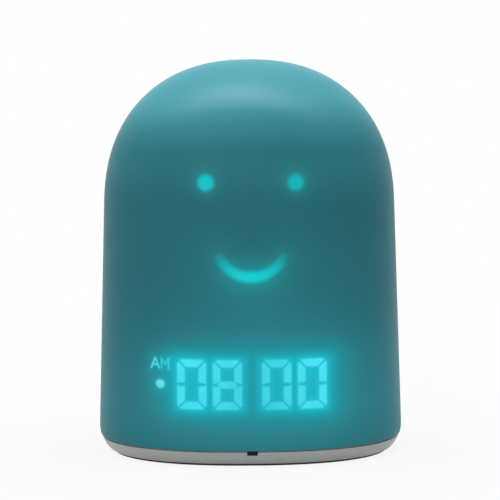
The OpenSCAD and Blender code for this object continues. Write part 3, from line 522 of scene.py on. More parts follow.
@dataclass(frozen=True)
class Wrapped(Finish):
    """Shrink film or insulation, glossy, with soft wrinkles."""

    tone: Colour
    pale: Colour
    roughness: float = 0.3
    stretch: tuple[float, float, float] = (0.4, 1.0, 1.6)
    wrinkle: float = 5.0

    def surface(self, graph: Graph) -> dict[str, object]:
        """Draws a glossy film with wrinkles.

        Args:
            graph: The graph that the nodes go into.

        Returns:
            The shader's inputs by name.
        """
        point = graph.place()
        wrinkles = graph.vector("MULTIPLY", point, self.stretch)
        wrinkles = graph.noise(wrinkles, self.wrinkle, 4.0)
        return {
            "Base Color": graph.mix(wrinkles.eased(0.3, 0.8), self.tone, self.pale),
            "Roughness": self.roughness + wrinkles * 0.12,
            "Normal": graph.bump(wrinkles, 0.12),
        }


@dataclass(frozen=True)
class Wound(Finish):
    """Enamelled wire wound round an axis along Y."""

    tone: Colour
    # Painted shade: the darker colour in the grooves between the turns.
    gap: Colour
    pitch: float = 0.25

    def surface(self, graph: Graph) -> dict[str, object]:
        """Draws close turns of wire, with painted shade in the grooves between them.

        Args:
            graph: The graph that the nodes go into.

        Returns:
            The shader's inputs by name.
        """
        point = graph.place()
        turns = graph.wave(graph.axes(point)[1], self.pitch)
        return {
            # The grooves get the darker colour: painted shade.
            "Base Color": graph.mix(turns, self.gap, self.tone),
            "Metallic": 0.8 + graph.noise(point, 4.0) * 0.2,
            "Roughness": 0.3 + (1 - turns) * 0.25,
            "Normal": graph.bump(turns, 0.08),
        }


# ---- The body's form ----


def signed_power(value: float, power: float) -> float:
    """Returns a power of the value's size, with the value's sign."""
    return math.copysign(abs(value) ** power, value)


@dataclass(frozen=True)
class BodyForm:
    """The rounded form that dome, tray and foot ring share: an oval plan under a domed top."""

    width: float = 105.0
    front: float = 47.0
    back: float = 39.0
    height: float = 135.0
    shoulder: float = 86.0
    belt: float = 9.0
    toe_inset: float = 6.0
    squareness: float = 2.3
    draft: float = 1.65
    blend: float = 5.0
    shell: float = 2.2
    seam: float = 5.6

    @property
    def middle(self) -> float:
        """Y of the widest plane."""
        return (self.front - self.back) / 2

    @property
    def rear(self) -> float:
        """Y of the flat back."""
        return self.middle + self.back

    def falloff(self, share: float) -> float:
        """Returns the superellipse's height at a share of its half width."""
        return (1 - share**self.squareness) ** (1 / self.squareness) if share < 1 else 0.0

    def toe(self, z: float) -> float:
        """Returns how far the foot turns in at a height."""
        share = max(self.belt - z, 0) / self.belt
        return self.toe_inset * (1 - math.sqrt(1 - share**2))

    def half_sizes(self, z: float, wall: float) -> tuple[float, float]:
        """Measures the oval.

        Args:
            z: The height.
            wall: How far inside the surface.

        Returns:
            Half the width, and the depth in front of the widest plane.
        """
        rise = max(z - self.shoulder, 0) / (self.height - wall - self.shoulder)
        leaned = math.tan(math.radians(self.draft)) * max(z - self.belt, 0)
        inset = wall + self.toe(z) + leaned
        draw = self.falloff(rise)
        return (self.width / 2 - inset) * draw, (self.front - inset) * draw

    def ring(self, z: float, wall: float, steps: int) -> list[Vector]:
        """Lists points round the body.

        Args:
            z: The height.
            wall: How far inside the surface.
            steps: How many points.

        Returns:
            The points, from +X towards +Y.
        """
        half_width, half_depth = self.half_sizes(z, wall)
        power = 2 / self.squareness
        flat = self.rear - wall - self.toe(z)
        points = []
        for step in range(steps):
            angle = 2 * math.pi * step / steps
            x = half_width * signed_power(math.cos(angle), power)
            y = self.middle + half_depth * signed_power(math.sin(angle), power)
            if y > self.middle:
                reach = max(self.blend - abs(y - flat), 0)
                y = min(y, flat) - reach**2 / (4 * self.blend)
            points.append(Vector((x, y, z)))
        return points

    def dome_heights(self, wall: float, steps: int) -> list[float]:
        """Lists the heights of the dome's rings.

        Args:
            wall: How far inside the surface.
            steps: How many rings.

        Returns:
            The heights from the shoulder up, without the crown.
        """
        reach = self.height - wall - self.shoulder
        sines = [math.sin(math.pi / 2 * i / steps) for i in range(steps)]
        return [self.shoulder + reach * sine ** (2 / self.squareness) for sine in sines]


FORM = BodyForm()


# ---- Outlines ----


def arc(centre: Point, radius: float, start: float, end: float, steps: int) -> list[Point]:
    """Lists points along an arc.

    Args:
        centre: Its centre.
        radius: Its radius.
        start: The first point's angle in degrees.
        end: The last point's angle in degrees.
        steps: How many steps between them.

    Returns:
        The points, both ends included.
    """
    points = []
    for step in range(steps + 1):
        angle = math.radians(start + (end - start) * step / steps)
        points.append((centre[0] + radius * math.cos(angle), centre[1] + radius * math.sin(angle)))
    return points


class Outline(ABC):
    """A closed outline that can be grown or shrunk."""

    @abstractmethod
    def points(self, grow: float) -> list[Point]:
        """Returns the outline's points, moved outward by grow."""


@dataclass(frozen=True)
class Disc(Outline):
    """A circle."""

    centre: Point
    radius: float
    steps: int = 32

    def points(self, grow: float) -> list[Point]:
        """Returns the circle's points, moved outward by grow."""
        turn = 360 - 360 / self.steps
        return arc(self.centre, self.radius + grow, 0, turn, self.steps - 1)


@dataclass(frozen=True)
class RoundedBox(Outline):
    """A rectangle with round corners."""

    centre: Point
    size: Point
    corner: float
    steps: int = 6

    def points(self, grow: float) -> list[Point]:
        """Draws the rectangle.

        Args:
            grow: How far outward the points move.

        Returns:
            The points.
        """
        corner = max(self.corner + grow, SHARPEST)
        half_x = self.size[0] / 2 + grow - corner
        half_z = self.size[1] / 2 + grow - corner
        points = []
        for turn, (side_x, side_z) in enumerate(((1, 1), (-1, 1), (-1, -1), (1, -1))):
            middle = (self.centre[0] + side_x * half_x, self.centre[1] + side_z * half_z)
            points += arc(middle, corner, 90 * turn, 90 * turn + 90, self.steps)
        return points


@dataclass(frozen=True)
class Arch(Outline):
    """The outline of the back's opening: straight sides under a half circle."""

    inset: float = 0.0
    radius: float = 24.0
    bottom: float = 11.5
    centre: float = 57.0
    corner: float = 5.0
    steps: int = 64

    def points(self, grow: float) -> list[Point]:
        """Draws the arch.

        Args:
            grow: How far outward the points move.

        Returns:
            The points.
        """
        grow -= self.inset
        corner = self.corner + grow
        low = self.bottom - grow + corner
        foot_x = self.radius + grow - corner
        top = arc((0, self.centre), self.radius + grow, 0, 180, self.steps)
        left = arc((-foot_x, low), corner, 180, 270, self.steps // 6)
        right = arc((foot_x, low), corner, 270, 360, self.steps // 6)
        return top + left + right


@dataclass(frozen=True)
class Polygon(Outline):
    """A sign with straight sides, about its own centre."""

    centre: Point
    corners: tuple[Point, ...]

    def points(self, grow: float) -> list[Point]:
        """Draws the sign.

        Args:
            grow: How far outward the points move.

        Returns:
            The points.
        """
        points = []
        for x, z in self.corners:
            scale = 1 + grow / math.hypot(x, z)
            points.append((self.centre[0] + x * scale, self.centre[1] + z * scale))
        return points


def cross(arm: float, thin: float, turn: float = 0.0) -> tuple[Point, ...]:
    """Lists the corners of a cross.

    Args:
        arm: How far its arms reach.
        thin: Half their width.
        turn: How far it is turned, in radians.

    Returns:
        The corners, from the arm along +X.
    """
    corners = [(arm, -thin), (arm, thin), (thin, thin)]
    for _ in range(3):
        corners += [(-z, x) for x, z in corners[-3:]]
    cosine, sine = math.cos(turn), math.sin(turn)
    return tuple((x * cosine - z * sine, x * sine + z * cosine) for x, z in corners)


@dataclass(frozen=True)
class Plan(Outline):
    """The body's outline seen from above."""

    z: float
    wall: float
    steps: int = 200

    def points(self, grow: float) -> list[Point]:
        """Returns the plan's points, moved outward by grow."""
        return [(p.x, p.y) for p in FORM.ring(self.z, self.wall - grow, self.steps)]


# ---- Solids ----


class Along(Enum):
    """The way that an outline is given thickness."""

    BACK = "an outline in X and Z goes back along +Y"
    UP = "an outline in X and Y goes up along +Z"

    def lift(self, point: Point, depth: float) -> Vector:
        """Returns the outline's point at a depth."""
        first, second = point
        return Vector((first, depth, second) if self is Along.BACK else (first, second, depth))


class Act(Enum):
    """What a tool solid does to another."""

    CUT = "DIFFERENCE"
    JOIN = "UNION"


def rounding(radius: float, steps: int) -> list[Point]:
    """Lists how far a round edge stays from its side and its face, from the side on."""
    turns = [math.pi / 2 * i / steps for i in range(steps + 1)]
    return [(radius * (1 - math.sin(turn)), radius * (1 - math.cos(turn))) for turn in turns]


def levels(start: float, end: float, first: float = 0.0, last: float = 0.0) -> list[Point]:
    """Lists the levels of a plate with rounded edges.

    Args:
        start: The depth of the first face.
        end: The depth of the last face.
        first: The radius of the edge round the first face.
        last: The radius of the edge round the last face.

    Returns:
        Pairs of inset and depth.
    """
    low = [(side, start + face) for side, face in rounding(first, 3)]
    high = [(side, end - face) for side, face in rounding(last, 3)]
    return (low if first else low[:1]) + (high[::-1] if last else high[:1])


def capped(*points: Point) -> list[Point]:
    """Returns a profile, pairs of radius and depth, with its ends closed on the axis."""
    return [(0.0, points[0][1]), *points, (0.0, points[-1][1])]


def stand(name: str, data: bpy.types.ID) -> bpy.types.Object:
    """Puts something into the scene.

    Args:
        name: The object's name.
        data: Its mesh, light or camera.

    Returns:
        The object.
    """
    made = bpy.data.objects.new(name, data)
    bpy.context.scene.collection.objects.link(made)
    return made


class Solid:
    """A closed mesh in the making."""

    def __init__(self) -> None:
        """Starts with no faces."""
        self.mesh = bmesh.new()

    def skin(
        self, rings: Sequence[Sequence[Vector]], closed: bool = False
    ) -> list[list[bmesh.types.BMVert]]:
        """Joins rings of points with faces.

        Args:
            rings: Rings of equally many points, or single points for the ends.
            closed: Whether the last ring joins the first.

        Returns:
            The rings' vertices.
        """
        made = [[self.mesh.verts.new(point) for point in ring] for ring in rings]
        pairs = list(zip(made, made[1:]))
        if closed:
            pairs.append((made[-1], made[0]))
        for low, high in pairs:
            count = max(len(low), len(high))
            for i in range(count):
                after = (i + 1) % count
                corners = [low[i % len(low)], low[after % len(low)]]
                corners += [high[after % len(high)], high[i % len(high)]]
                self.mesh.faces.new(list(dict.fromkeys(corners)))
        return made

    def fill(self, *rings: Sequence[bmesh.types.BMVert]) -> None:
        """Closes a flat opening that the rings of vertices bound."""
        pairs = [pair for ring in rings for pair in zip(ring, ring[1:] + ring[:1])]
        edges = [self.mesh.edges.get(pair) for pair in pairs]
        bmesh.ops.triangle_fill(self.mesh, use_beauty=True, edges=edges)

    def plate(
        self,
        along: Along,
        depths: Sequence[Point],
        outline: Outline,
        holes: Sequence[Outline] = (),
    ) -> "Solid":
        """Gives an outline thickness.

        Args:
            along: The way it goes.
            depths: Pairs of inset and depth, from its first face to its last.
            outline: Its outside.
            holes: Outlines of the holes through it.

        Returns:
            This solid.
        """
        walls = []
        for sign, loop in [(-1, outline)] + [(1, hole) for hole in holes]:
            rings = []
            for inset, depth in depths:
                rings.append([along.lift(point, depth) for point in loop.points(sign * inset)])
            walls.append(self.skin(rings))
        for end in (0, -1):
            self.fill(*(wall[end] for wall in walls))
        return self

    def lofted(self, low: float, rings: Sequence[Sequence[Vector]], high: float) -> "Solid":
        """Joins rings round the body's axis, and closes them with points on it.

        Args:
            low: The height of the first point.
            rings: Rings of equally many points.
            high: The height of the last point.

        Returns:
            This solid.
        """
        first, last = ([Vector((0, FORM.middle, z))] for z in (low, high))
        self.skin([first, *rings, last])
        return self

    def turned(
        self, centre: Point, profile: Sequence[Point], along: Along, steps: int = 64
    ) -> "Solid":
        """Turns a profile about an axis.

        Args:
            centre: The axis' place in the outline's plane.
            profile: Pairs of radius and depth. A radius of 0 is a point on the axis.
            along: The way the axis goes.
            steps: How many points round it.

        Returns:
            This solid.
        """
        rings = []
        for radius, depth in profile:
            ring = Disc(centre, radius, steps).points(0) if radius else [centre]
            rings.append([along.lift(point, depth) for point in ring])
        self.skin(rings, closed=bool(profile[0][0]))
        return self

    def swept(
        self, centre: Point, profile: Sequence[Point], start: float, end: float, steps: int
    ) -> "Solid":
        """Turns a closed profile part of the way round an axis along +Y, and closes its ends.

        Args:
            centre: The axis' X and Z.
            profile: Pairs of radius and depth.
            start: The angle in degrees where it starts.
            end: The angle where it ends.
            steps: How many steps between them.

        Returns:
            This solid.
        """
        ways = []
        for radius, depth in profile:
            way = arc(centre, radius, start, end, steps)
            ways.append([Along.BACK.lift(point, depth) for point in way])
        made = self.skin(list(zip(*ways)))
        self.fill(made[0])
        self.fill(made[-1])
        return self

    def apply(self, act: Act, tool: "Solid") -> "Solid":
        """Cuts a tool from this solid, or joins it on.

        Args:
            act: What to do.
            tool: The other solid, which is used up.

        Returns:
            This solid.
        """
        target = self.as_object("target")
        other = tool.as_object("tool")
        modifier = target.modifiers.new("carve", "BOOLEAN")
        modifier.operation = act.value
        modifier.solver = "EXACT"
        modifier.object = other
        graph = bpy.context.evaluated_depsgraph_get()
        carved = target.evaluated_get(graph).to_mesh()
        self.mesh = bmesh.new()
        self.mesh.from_mesh(carved)
        bmesh.ops.remove_doubles(self.mesh, verts=self.mesh.verts, dist=WELD)
        for used in (target, other):
            bpy.data.objects.remove(used)
        return self

    def as_object(self, name: str) -> bpy.types.Object:
        """Turns the faces outward and uses the mesh up.

        Args:
            name: The object's name.

        Returns:
            An object with this mesh.
        """
        bmesh.ops.recalc_face_normals(self.mesh, faces=self.mesh.faces)
        data = bpy.data.meshes.new(name)
        self.mesh.to_mesh(data)
        self.mesh.free()
        return stand(name, data)


def dress(node: str, finish: Finish) -> None:
    """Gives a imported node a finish.

    Args:
        node: The node's name.
        finish: Its finish.
    """
    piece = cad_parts[node]
    for slot in piece.material_slots:
        slot.material = finish.material()
    log.info("dressed %s as %s", node, finish.name)


@dataclass(frozen=True)
class Bend:
    """Two bodies and two points in millimetres that a soft piece spans. Nothing reads them."""

    first: str
    last: str
    start: Vector
    end: Vector


def place(
    solid: Solid,
    name: str,
    node: str,
    finish: Finish,
    body: str | Bend = "housing",
    crease: float = 32.0,
) -> bpy.types.Object:
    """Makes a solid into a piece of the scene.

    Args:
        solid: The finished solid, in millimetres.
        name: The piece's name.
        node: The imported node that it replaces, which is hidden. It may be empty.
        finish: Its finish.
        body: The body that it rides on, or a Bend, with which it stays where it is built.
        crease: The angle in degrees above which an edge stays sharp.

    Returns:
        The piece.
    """
    piece = solid.as_object(name)
    piece.data.transform(Matrix.Scale(1 / MM_PER_M, 4))
    piece.data.shade_smooth()
    piece.data.set_sharp_from_angle(angle=math.radians(crease))
    weigh = piece.modifiers.new("even_shading", "WEIGHTED_NORMAL")
    weigh.keep_sharp = True
    piece.data.materials.append(finish.material())
    if isinstance(body, Bend):
        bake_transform(piece)
    else:
        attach(piece, body)
    if node:
        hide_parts(node)
    log.info("placed %s: %d faces", name, len(piece.data.polygons))
    return piece


# ---- The dome's skin, with its lamps ----


def span(across: Signal, up: Signal) -> Signal:
    """Returns the length of a line that goes so far across and up."""
    return (across * across + up * up) ** 0.5


def bell(value: Signal, centre: float, half: float) -> Signal:
    """Returns a smooth hill, 1 at its centre and 0.5 at half on either side."""
    return 0.5 ** (((value - centre) / half) ** 2)


def fading(away: Signal, half: float) -> Signal:
    """Returns 1 up to an edge, and then half as much with every half further away."""
    return 0.5 ** (away.most(0.0) / half)


def segment(x: Signal, z: Signal, start: Point, end: Point) -> Signal:
    """Measures to a straight stroke.

    Args:
        x: The place across.
        z: The height.
        start: One end of the stroke.
        end: Its other end.

    Returns:
        How far each point is from the stroke.
    """
    run = (end[0] - start[0], end[1] - start[1])
    square = run[0] ** 2 + run[1] ** 2
    share = (((x - start[0]) * run[0] + (z - start[1]) * run[1]) / square).most(0.0).least(1.0)
    return span(x - start[0] - share * run[0], z - start[1] - share * run[1])


@dataclass(frozen=True)
class LitSkin(Finish):
    """The dome's satin plastic, thin enough in front for the lamps behind it to show."""

    wall: Colour = (0.033, 0.210, 0.248, 1.0)
    # Painted shade: the walls between the foot and the shoulder are darker.
    belly_shade: Colour = (0.027, 0.174, 0.204, 1.0)
    # Painted light: the crown is paler, as if lit from above.
    crown: Colour = (0.070, 0.360, 0.425, 1.0)
    # Painted highlight: a pale band on the crown's front, where the lamp above is reflected.
    painted_highlight: Colour = (0.160, 0.446, 0.506, 1.0)
    # Painted shade under the painted highlight.
    shadow: Colour = (0.0, 0.10, 0.12, 1.0)
    lit: Colour = (0.011, 0.200, 0.240, 1.0)
    core: Colour = (0.22, 0.93, 1.0, 1.0)
    halo: Colour = (0.012, 0.83, 1.0, 1.0)
    face_glow: Colour = (0.0, 0.995, 0.985, 1.0)
    dark_mottle: Colour = (0.93, 0.93, 0.93, 1.0)
    pale_mottle: Colour = (1.07, 1.07, 1.07, 1.0)
    crown_light_rise: Point = (104.0, 124.0)
    belly_shade_rise: Point = (14.0, 48.0)
    belly_shade_fall: Point = (102.0, 86.0)
    shade_rise: Point = (98.0, 111.0)
    shade_fall: Point = (123.0, 118.0)
    shade_side: Point = (8.0, 20.0)
    # Where the painted highlight lies: its heights, its place across and its bow.
    highlight_rise: Point = (119.5, 125.0)
    highlight_fall: Point = (130.5, 125.0)
    highlight_side: Point = (-3.0, 14.0)
    highlight_bow: float = 0.009
    lamp_shelf: float = 5.0
    pair_x: float = 14.3
    digit_x: float = 6.0
    digit_z: float = 28.2
    half_digit: Point = (4.9, 8.4)
    bar: float = 1.28
    bar_gap: float = 0.3
    bar_edge: float = 0.4
    notch: Point = (0.36, 0.16)
    tip: Point = (3.2, 0.5)
    corner: float = 1.0
    pool_x: Point = (5.0, 31.0)
    pool_z: float = 23.0
    outer_glow: Point = (20.5, 8.0)
    inner_gap: Point = (8.5, 6.0)
    eye: Point = (15.1, 96.0)
    eye_radius: float = 2.7
    smile: Point = (0.0, 76.5)
    smile_radius: float = 12.1
    smile_angle: float = 61.0
    smile_half: float = 1.9
    mark: Point = (-30.85, 34.95)
    mark_half: float = 0.28
    mark_edge: float = 0.3
    dot: Point = (-30.95, 27.95)
    dot_radius: float = 1.5

    def surface(self, graph: Graph) -> dict[str, object]:
        """Draws the skin with everything that glows through it.

        Args:
            graph: The graph that the nodes go into.

        Returns:
            The shader's inputs by name.
        """
        point = graph.place()
        x, y, z = graph.axes(point)
        flow = graph.noise(point, 30.0)
        grain = graph.noise(point, 0.45, 3.0)
        front = (-y).eased(0.0, self.lamp_shelf)
        spread = front * (0.94 + graph.noise(point, 9.0) * 0.12)
        digits, digits_halo = self.digits(x, z)
        letters, letters_halo = self.half_day(x, z)
        core = digits.most(letters) * front * (0.6 + graph.noise(point, 5.0) * 0.8)
        halo, face = (digits_halo + letters_halo) * spread, self.face(x, z) * spread
        tone = self.shell(graph, x, z)
        tone = graph.mix(((halo + face) * 5 - 0.3).most(0.0).least(1.0), tone, self.lit)
        mottle = graph.mix(flow * 0.6 + grain * 0.4, self.dark_mottle, self.pale_mottle)
        glow = graph.vector("ADD", graph.scaled(self.core, core), graph.scaled(self.halo, halo))
        return {
            "Base Color": graph.vector("MULTIPLY", tone, mottle),
            "Roughness": 0.43 + (flow - 0.5) * 0.08 + (grain - 0.5) * 0.06,
            "Specular IOR Level": 0.07,
            "Emission Color": graph.vector("ADD", glow, graph.scaled(self.face_glow, face)),
            "Emission Strength": 1.0,
            "Normal": graph.bump(grain, 0.006),
        }

    def shell(self, graph: Graph, x: Signal, z: Signal) -> bpy.types.NodeSocket:
        """Draws the plastic's colour, with painted light on the crown, a painted highlight and
        painted shade.

        Args:
            graph: The graph that the nodes go into.
            x: The place across, in millimetres.
            z: The height.

        Returns:
            The colour.
        """
        # Painted light: the wall turns paler towards the crown.
        tone = graph.mix(z.eased(*self.crown_light_rise), self.wall, self.crown)
        # Painted shade: darker walls at middle heights.
        tone = graph.mix(z.eased(*self.belly_shade_rise) * z.eased(*self.belly_shade_fall), tone, self.belly_shade)
        # Painted shade: a darker patch on the front below the highlight.
        painted_shade = z.eased(*self.shade_rise) * z.eased(*self.shade_fall) * bell(x, *self.shade_side)
        tone = graph.mix(painted_shade * 0.14, tone, self.shadow)
        # Painted highlight: a pale arched band across the front of the crown.
        arch = z + self.highlight_bow * (x - self.highlight_side[0]) ** 2
        painted_highlight = arch.eased(*self.highlight_rise) * arch.eased(*self.highlight_fall)
        return graph.mix(painted_highlight * bell(x, *self.highlight_side), tone, self.painted_highlight)

    def digits(self, x: Signal, z: Signal) -> tuple[Signal, Signal]:
        """Draws 08 00, mirrored and folded onto one digit.

        Args:
            x: The place across, in millimetres.
            z: The height.

        Returns:
            How bright each point's core and halo are.
        """
        half_w, half_h = self.half_digit
        across = abs(abs(abs(x) - self.pair_x) - self.digit_x)
        up = abs(z - self.digit_z)
        in_side, in_end = half_w - across, half_h - up
        mitre = (in_side - in_end) * math.sqrt(0.5)
        corner = self.corner - (in_side + in_end) * math.sqrt(0.5)
        side = (abs(in_side - self.bar) - self.bar).most(mitre + self.bar_gap)
        side = side.most(self.notch[0] + self.notch[1] * in_side - up)
        cap = (abs(in_end - self.bar) - self.bar).most(self.bar_gap - mitre)
        tip, slope = self.tip
        middle = (up - self.bar * 0.92).most((across - tip + slope * up) / math.hypot(1, slope))
        middle = middle.most(abs(x + self.pair_x - self.digit_x) - half_w)
        near = side.least(cap).most(corner).least(middle)
        away = span((-in_side).most(0.0) * 0.8, (-in_end).most(0.0) * 1.25)
        close = 0.195 + bell(abs(x), *self.outer_glow) * 0.055 + 0.14 * fading(near, 1.5)
        close = close - bell(x, *self.inner_gap) * 0.03
        pool = bell(x, *self.pool_x) * bell(z, self.digit_z, self.pool_z)
        bright = 0.168 + abs(x) * 0.0028 + (z - self.digit_z) * 0.002
        core = near.eased(self.bar_edge, -self.bar_edge) * bright
        return core, close * fading(away, 3.2) + 0.105 * pool

    def face(self, x: Signal, z: Signal) -> Signal:
        """Draws two dots and an arc.

        Args:
            x: The place across, in millimetres.
            z: The height.

        Returns:
            How bright each point is.
        """
        reach = span(abs(x) - self.eye[0], z - self.eye[1]) - self.eye_radius
        eyes = reach.eased(0.9, -1.1) * (0.26 - x * 0.003)
        low = z - self.smile[1]
        limit = math.radians(self.smile_angle)
        along = x.graph.math("ARCTAN2", abs(x), -low).least(limit)
        off_x = abs(x) - x.graph.math("SINE", along) * self.smile_radius
        off_z = low + x.graph.math("COSINE", along) * self.smile_radius
        stroke = span(off_x, off_z) - (self.smile_half - along * 0.3)
        fade = 1 - along * along * (0.73 / limit**2)
        smile = stroke.eased(0.9, -1.2) * fade * 0.31
        halo = 0.08 * fading(reach, 1.2) + fade * 0.115 * fading(stroke, 2.0)
        return eyes.most(smile) + halo + 0.03 * fading(stroke, 8.0)

    def half_day(self, x: Signal, z: Signal) -> tuple[Signal, Signal]:
        """Draws AM and the dot under it.

        Args:
            x: The place across, in millimetres.
            z: The height.

        Returns:
            How bright each point's core and halo are.
        """
        dot = span(x - self.dot[0], z - self.dot[1]) - self.dot_radius
        right, up = (x - self.mark[0]) * 1.1, z - self.mark[1]
        side = abs(right + 1.85)
        a = segment(side, up, (0.1, 1.6), (1.4, -1.6))
        a = a.least(segment(side, up, (0.0, -0.55), (0.9, -0.55)))
        side = abs(right - 1.75)
        m = segment(side, up, (1.3, -1.6), (1.3, 1.6))
        m = m.least(segment(side, up, (1.3, 1.6), (0.0, -0.3)))
        core = dot.eased(0.5, -0.6) * 0.42
        for letter, bright in ((a, 0.33), (m, 0.16)):
            inked = (letter - self.mark_half).eased(self.mark_edge, -self.mark_edge)
            core = core.most(inked * bright)
        return core, 0.12 * fading(dot, 1.2) + 0.2 * fading(a.least(m), 0.7)


# ---- Finishes of this clock ----

SKIN = LitSkin("lit_teal_skin")
PALE = Moulded("pale_grey_plastic", (0.45, 0.465, 0.455, 1.0), roughness=0.46)
WHITE = Moulded("white_plastic", (0.72, 0.72, 0.70, 1.0), roughness=0.5)
BLACK = Moulded("black_plastic", (0.022, 0.022, 0.024, 1.0), roughness=0.42, marks=0.2)
RUBBER = Rubber("dark_rubber", (0.040, 0.042, 0.043, 1.0))
FELT = Woven("slot_felt_weave", (0.012, 0.012, 0.012, 1.0), (0.004, 0.004, 0.004, 1.0), 0.3)
STEEL = Metal("plated_steel")
GREEN_BOARD = CircuitBoard("green_board", (0.012, 0.10, 0.035, 1.0), (0.03, 0.22, 0.08, 1.0))
WHITE_BOARD = CircuitBoard("white_board", (0.72, 0.73, 0.70, 1.0), (0.60, 0.61, 0.58, 1.0))
FILM = Lit("diffuser_film", (0.70, 0.78, 0.78, 1.0), (0.0, 0.55, 0.62, 1.0), 0.25, patch=8.0)
LAMP = Lit("lit_lamp", (0.70, 0.80, 0.80, 1.0), (0.05, 0.85, 1.0, 1.0), 1.0)
CLOTH = Woven("grille_weave", (0.055, 0.055, 0.058, 1.0), (0.008, 0.008, 0.009, 1.0))
FOAM = Porous("dark_foam", (0.020, 0.020, 0.021, 1.0), (0.06, 0.06, 0.062, 1.0), 0.35, 0.08)
PAPER = Porous("cone_paper", (0.035, 0.033, 0.031, 1.0), (0.085, 0.08, 0.075, 1.0), 0.8, 0.02)
FERRITE = Porous("ferrite", (0.045, 0.045, 0.048, 1.0), (0.09, 0.09, 0.095, 1.0), 0.25, 0.01, 0.6)
WRAP = Wrapped("battery_wrap", (0.010, 0.045, 0.16, 1.0), (0.03, 0.10, 0.28, 1.0))
CABLE = Wrapped("cable_skin", (0.035, 0.035, 0.037, 1.0), (0.07, 0.07, 0.072, 1.0), 0.45)
COPPER = Wound("copper_winding", (0.72, 0.30, 0.14, 1.0), (0.20, 0.06, 0.02, 1.0))


# ---- The clock's sub-assemblies ----


@dataclass(frozen=True)
class Posts:
    """Round posts of one kind on the tray's floor. A hole is pairs of radius and height."""

    places: tuple[Point, ...]
    radius: float
    top: float
    hole: tuple[Point, ...]


